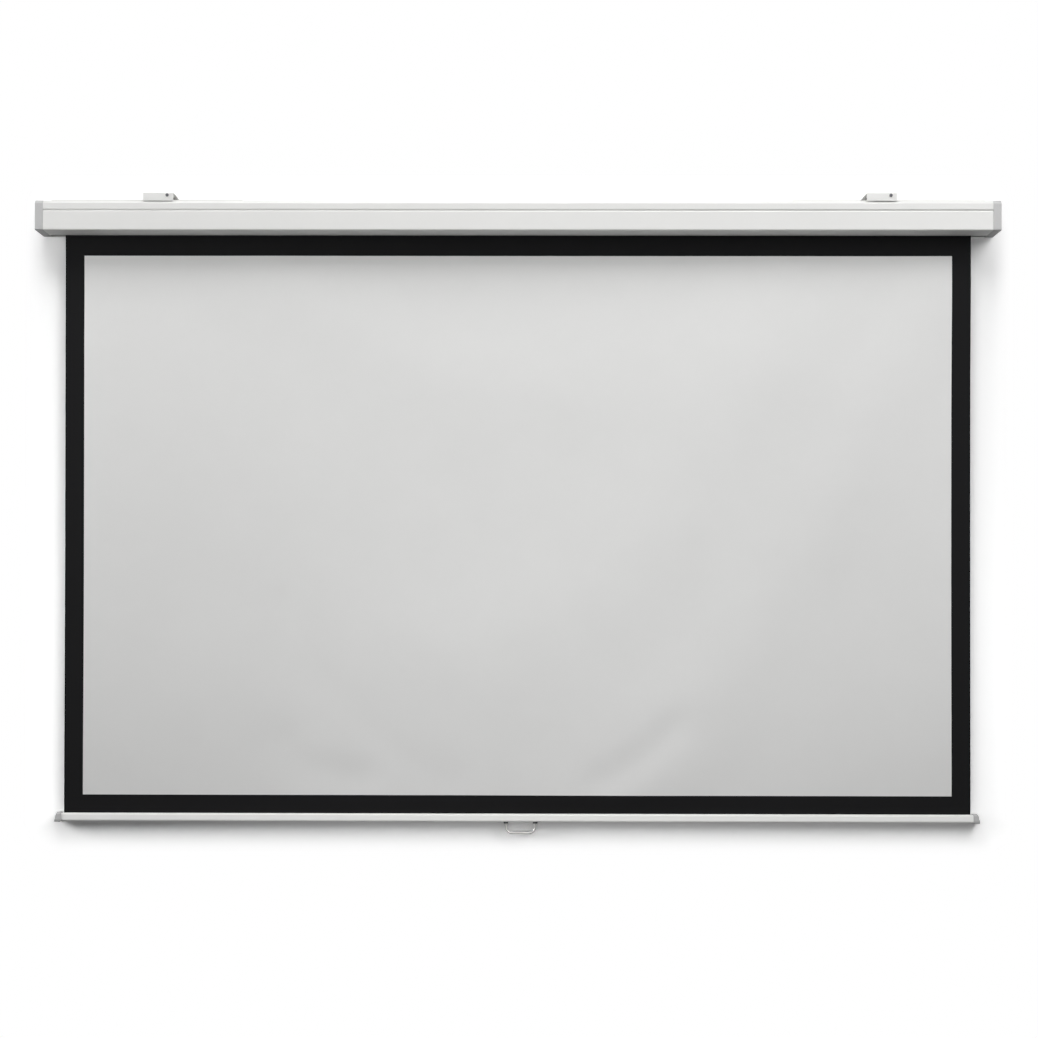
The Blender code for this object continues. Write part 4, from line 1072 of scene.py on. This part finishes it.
@dataclass
class WireHandle:
    """The bail under the bar: a round wire with two bent-out pins, as a ring carried along a path."""

    corner: float = 0.015
    bend: float = 0.0045
    pin: float = 0.012
    sides: int = 24
    arc_steps: int = 12

    def path(self, reach: float, middle_x: float, y: float, axis_z: float, low_z: float) -> np.ndarray:
        """Return the wire's centreline: straight runs joined by quarter circles.

        Args:
            reach: Half the wire's whole length across.
            middle_x: The handle's middle.
            y: The plane that it hangs in.
            axis_z: The height of its pins.
            low_z: The height of its grip.

        Returns:
            One row of X, Y and Z a point.
        """
        half = reach - self.bend - self.pin
        turn = np.linspace(0, math.pi / 2, self.arc_steps + 1)
        sine, cosine = np.sin(turn), np.cos(turn)
        pin = np.array([[-reach, axis_z]])
        bend = np.stack([-half - self.bend * (1 - sine), axis_z - self.bend * (1 - cosine)], axis=-1)
        corner = np.stack([-half + self.corner * (1 - cosine), low_z + self.corner * (1 - sine)], axis=-1)
        left = np.concatenate([pin, bend, corner])
        line = np.concatenate([left, left[::-1] * np.array([-1.0, 1.0])])
        return np.stack([line[:, 0] + middle_x, np.full(len(line), y), line[:, 1]], axis=-1)

    def make(self, palette: Palette) -> None:
        """Build the handle, which replaces the faceted wire, and the bezels round its legs.

        Args:
            palette: The materials.
        """
        low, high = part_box("pull_handle")
        middle_x, y, _ = middle_of("pull_handle")
        wire, reach = high.y - low.y, (high.x - low.x) / 2
        path = self.path(reach - WIRE_CHAMFER * wire, middle_x, y, high.z - wire / 2, low.z + wire / 2)
        mesh = round_wire("wire_handle", path, np.tile(Y_AXIS, (len(path), 1)), wire, self.sides)
        piece = new_piece("wire_handle", mesh, palette.of(NICKEL), Body.HANDLE)
        stands_for(piece, "pull_handle")
        leg = reach - self.bend - self.pin
        for side, way in ((Side.LEFT, -1), (Side.RIGHT, 1)):
            LegBezel().make(f"leg_bezel_{side.value}", middle_x + way * leg, palette.of(NYLON))


@dataclass
class Mount:
    """One bracket with its sliding shoe and the screw that locks it."""

    side: Side
    sheet_edge_mm: float = 0.3
    screw_head: float = 0.0026
    screw_shank: float = 0.002

    def make(self, palette: Palette) -> None:
        """Build and dress the mount's pieces.

        Args:
            palette: The materials.
        """
        body = Body.LEFT_MOUNT if self.side is Side.LEFT else Body.RIGHT_MOUNT
        name = self.side.value
        eased_copy(f"bracket_{name}", body, palette.of(CASE_PAINT), self.sheet_edge_mm)
        eased_copy(f"bracket_shoe_{name}", body, palette.of(NYLON), self.sheet_edge_mm)
        screw = CrossScrew(f"lock_screw_{name}", body, (0, -1, 0), self.screw_head, self.screw_shank)
        screw.make(palette.of(BLACK_OXIDE))


@dataclass(frozen=True)
class SoftLamp:
    """A rectangular lamp that faces a point."""

    name: str
    place: tuple[float, float, float]
    watts: float
    size: tuple[float, float] = (1.6, 1.4)
    aim: tuple[float, float, float] = (0.0, 0.0, -0.8)

    def make(self) -> None:
        """Add the lamp, unseen by the camera."""
        light = bpy.data.lights.new(self.name, "AREA")
        light.shape = "RECTANGLE"
        light.size, light.size_y = self.size
        light.energy = self.watts
        lamp = bpy.data.objects.new(self.name, light)
        bpy.context.scene.collection.objects.link(lamp)
        lamp.location = self.place
        lamp.rotation_euler = (Vector(self.aim) - Vector(self.place)).to_track_quat("-Z", "Y").to_euler()
        lamp.visible_camera = False


@dataclass(frozen=True)
class Studio:
    """The wall behind the screen, the floor below it, the lamps and the camera."""

    camera_place: tuple[float, float, float] = (0.0272, -4.05, -1.0855)
    tilt_degrees: float = 0.203
    roll_degrees: float = 0.102
    turn_degrees: float = 0.274
    lens_mm: float = 52.78
    sensor_mm: float = 36.0
    shift_x: float = -0.0009
    shift_y: float = 0.0809

    # The stage: half its width, the floor's height and front edge, the wall's top and its gap to the screen
    reach: float = 8.0
    floor_z: float = -2.6
    floor_front: float = -9.0
    wall_top: float = 5.0
    wall_gap: float = 0.0004
    grey: float = 0.85

    # Where the wall turns pure white: the screen's outline on it, and how far from it
    half_width: float = 1.225
    middle_z: float = -0.8345
    half_height: float = 0.8145
    white_from: float = 0.03
    white_to: float = 0.09

    # The wall's brightness against the lamps' falloff, as a polynomial: the factor and the powers of X and
    # of the height above the middle given here
    even_middle_z: float = -0.85
    evenness: tuple[tuple[float, int, int], ...] = (
        (1.2772, 0, 0),
        (-0.0106, 1, 0),
        (-0.3701, 0, 1),
        (-0.0058, 1, 1),
        (0.1933, 0, 2),
        (0.0654, 2, 0),
        (-0.0369, 2, 1),
    )

    # The room's light, and the heights and depths of a direction over which it changes
    light_from_above: float = 0.01
    light_from_below: float = 0.015
    level_blend: float = 0.1
    wall_blend: float = 0.02
    lamps: tuple[SoftLamp, ...] = (
        SoftLamp("left_box", (-4.2, -1.0, -0.4), 97.3),
        SoftLamp("left_front_box", (-4.2, -2.7, 0.4), 19.4),
        SoftLamp("upper_box", (-1.4, -1.7, 2.8), 35.0),
        SoftLamp("top_box", (0.0, -1.12, 2.0), 35.5),
        SoftLamp("right_box", (2.63, -2.29, 1.26), 68.7, size=(1.64, 2.80)),
        SoftLamp("middle_fill", (0.0, -1.0, -1.2), 3.4),
        SoftLamp("right_fill", (1.4, -1.0, -1.2), 2.3),
        SoftLamp("back_strip", (0.0, 1.0, 0.25), 14.0, size=(2.8, 0.4), aim=(0.0, 0.0, -0.06)),
        SoftLamp("back_fill", (0.0, 0.9, -1.15), 7.0, size=(2.8, 0.8), aim=(0.0, 0.0, -1.15)),
    )

    def white_share(self, tree: NodeTree, across: Any, up: Any) -> NodeSocket:
        """Return 0 close to the screen's outline and 1 well away from it.

        Args:
            tree: The material's nodes.
            across: The place's X socket.
            up: The place's Z socket.

        Returns:
            The share, by the distance to a rectangle and a smooth step.
        """
        total: Any = 0.0
        for socket, middle, half in ((across, 0.0, self.half_width), (up, self.middle_z, self.half_height)):
            gap = socket
            steps = (
                ("SUBTRACT", middle),
                ("ABSOLUTE", 0.0),
                ("SUBTRACT", half),
                ("MAXIMUM", 0.0),
                ("POWER", 2.0),
            )
            for operation, second in steps:
                gap = add_node(tree, "Math", {0: gap, 1: second}, operation=operation).outputs[0]
            total = add_node(tree, "Math", {0: total, 1: gap}, operation="ADD").outputs[0]
        away = add_node(tree, "Math", {0: total}, operation="SQRT").outputs[0]
        step = {"Value": away, "From Min": self.white_from, "From Max": self.white_to}
        return add_node(tree, "MapRange", step, interpolation_type="SMOOTHSTEP").outputs["Result"]

    def even_white(self, tree: NodeTree, across: Any, up: Any) -> NodeSocket:
        """Even out the lamps' falloff, as a sum of products of powers of X and of the height.

        Args:
            tree: The material's nodes.
            across: The place's X socket.
            up: The place's Z socket.

        Returns:
            The paint's brightness that makes the unshaded wall just white.
        """
        height = add_node(tree, "Math", {0: up, 1: self.even_middle_z}, operation="SUBTRACT").outputs[0]
        total: Any = 0.0
        for factor, by_x, by_z in self.evenness:
            term: Any = factor
            for socket in [across] * by_x + [height] * by_z:
                term = add_node(tree, "Math", {0: term, 1: socket}, operation="MULTIPLY").outputs[0]
            total = add_node(tree, "Math", {0: total, 1: term}, operation="ADD").outputs[0]
        return total

    def stage_material(self, name: str, keep_shadow: bool) -> Material:
        """Return the pale stage's paint: white to the camera, with the object's shadow kept near it.

        Args:
            name: The material's name.
            keep_shadow: Whether the lamps shade it near the object, or it is white all over.

        Returns:
            The material, which is clear from behind so that the object's back can be seen.
        """
        material, tree = new_tree(name)
        seen = seen_by(tree, "Camera", "Transmission")
        white = add_node(tree, "Emission", {"Color": WHITE, "Strength": 1.0}).outputs["Emission"]
        plain: Any = (self.grey, self.grey, self.grey, 1.0)
        colour, share = plain, seen
        if keep_shadow:
            place = add_node(tree, "TexCoord").outputs["Object"]
            split = add_node(tree, "SeparateXYZ", {"Vector": place}).outputs
            even = self.even_white(tree, split["X"], split["Z"])
            shades = {"Factor": seen, FIRST_COLOUR: plain, SECOND_COLOUR: even}
            colour = add_node(tree, "Mix", shades, data_type="RGBA").outputs[MIXED_COLOUR]
            away = self.white_share(tree, split["X"], split["Z"])
            share = add_node(tree, "Math", {0: seen, 1: away}, operation="MULTIPLY").outputs[0]
        paint = add_node(tree, "BsdfDiffuse", {"Color": colour}).outputs["BSDF"]
        front = add_node(tree, "MixShader", {0: share, 1: paint, 2: white}).outputs["Shader"]
        clear = add_node(tree, "BsdfTransparent").outputs["BSDF"]
        behind = add_node(tree, "NewGeometry").outputs["Backfacing"]
        both = add_node(tree, "MixShader", {0: behind, 1: front, 2: clear}).outputs["Shader"]
        add_node(tree, "OutputMaterial", {"Surface": both})
        return material

    def plane(self, name: str, corners: Sequence[Sequence[float]], material: Material) -> None:
        """Add one flat stage piece that neither blocks light nor lights the object.

        Args:
            name: The piece's name.
            corners: Its four corners, in order round its front.
            material: Its paint.
        """
        mesh = bpy.data.meshes.new(name)
        mesh.from_pydata([tuple(corner) for corner in corners], [], [(0, 1, 2, 3)])
        mesh.materials.append(material)
        piece = bpy.data.objects.new(name, mesh)
        bpy.context.scene.collection.objects.link(piece)
        piece.visible_diffuse = False
        piece.visible_shadow = False

    def world(self) -> None:
        """Make the room's light: dim from above, paler from below, none from behind the wall.

        The camera, gloss and clear materials see it as plain white; the wall and the floor aren't white to
        gloss, so that bright metal has a dark underside.
        """
        world = bpy.data.worlds.new("studio")
        bpy.context.scene.world = world
        world.use_nodes = True
        tree = world.node_tree
        tree.nodes.clear()
        seen = seen_by(tree, "Camera", "Glossy", "Transmission")
        way = add_node(tree, "TexCoord").outputs["Generated"]
        split = add_node(tree, "SeparateXYZ", {"Vector": way}).outputs
        level = {
            "Value": split["Z"],
            "From Min": -self.level_blend,
            "From Max": self.level_blend,
            "To Min": self.light_from_below,
            "To Max": self.light_from_above,
        }
        dome = add_node(tree, "MapRange", level, interpolation_type="SMOOTHSTEP").outputs["Result"]
        front = {
            "Value": split["Y"],
            "From Min": self.wall_blend,
            "From Max": -self.wall_blend,
            "To Min": 0.0,
            "To Max": dome,
        }
        room = add_node(tree, "MapRange", front).outputs["Result"]
        shown = {"Value": seen, "To Min": room, "To Max": 1.0}
        strength = add_node(tree, "MapRange", shown).outputs["Result"]
        back = add_node(tree, "Background", {"Color": WHITE, "Strength": strength})
        add_node(tree, "OutputWorld", {"Surface": back.outputs["Background"]})

    def camera(self) -> None:
        """Place the camera with the photograph's small tilt, roll and turn."""
        data = bpy.data.cameras.new("camera")
        data.lens = self.lens_mm
        data.sensor_width = self.sensor_mm
        data.shift_x = self.shift_x
        data.shift_y = self.shift_y
        camera = bpy.data.objects.new("camera", data)
        bpy.context.scene.collection.objects.link(camera)
        camera.location = self.camera_place
        degrees = (90 + self.tilt_degrees, -self.roll_degrees, self.turn_degrees)
        camera.rotation_euler = [math.radians(angle) for angle in degrees]
        bpy.context.scene.camera = camera

    def make(self) -> None:
        """Build the stage, the lamps, the world and the camera."""
        wall = self.stage_material("pale_wall", True)
        floor = self.stage_material("pale_floor", False)
        left, right, low, high = -self.reach, self.reach, self.floor_z, self.wall_top
        back, front = self.wall_gap, self.floor_front
        upright = ((left, back, low), (right, back, low), (right, back, high), (left, back, high))
        level = ((left, front, low), (right, front, low), (right, back, low), (left, back, low))
        self.plane("wall", upright, wall)
        self.plane("floor", level, floor)
        for lamp in self.lamps:
            lamp.make()
        self.world()
        self.camera()
        bpy.context.scene.view_settings.view_transform = "Standard"


def main() -> None:
    """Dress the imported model, make the pieces that need a finer surface, and set the stage."""
    logging.basicConfig(level=logging.INFO, format="%(name)s: %(message)s")
    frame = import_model()
    travel = next(joint["range_m"][1] for joint in frame["joints"] if joint["name"] == "screen_travel")
    palette = Palette()
    Case().make(palette)
    Roller().make(palette)
    ProjectionSheet().make(travel)
    WeightBar().make(palette)
    WireHandle().make(palette)
    for side in Side:
        Mount(side).make(palette)
    Studio().make()


if __name__ == "__main__":
    main()
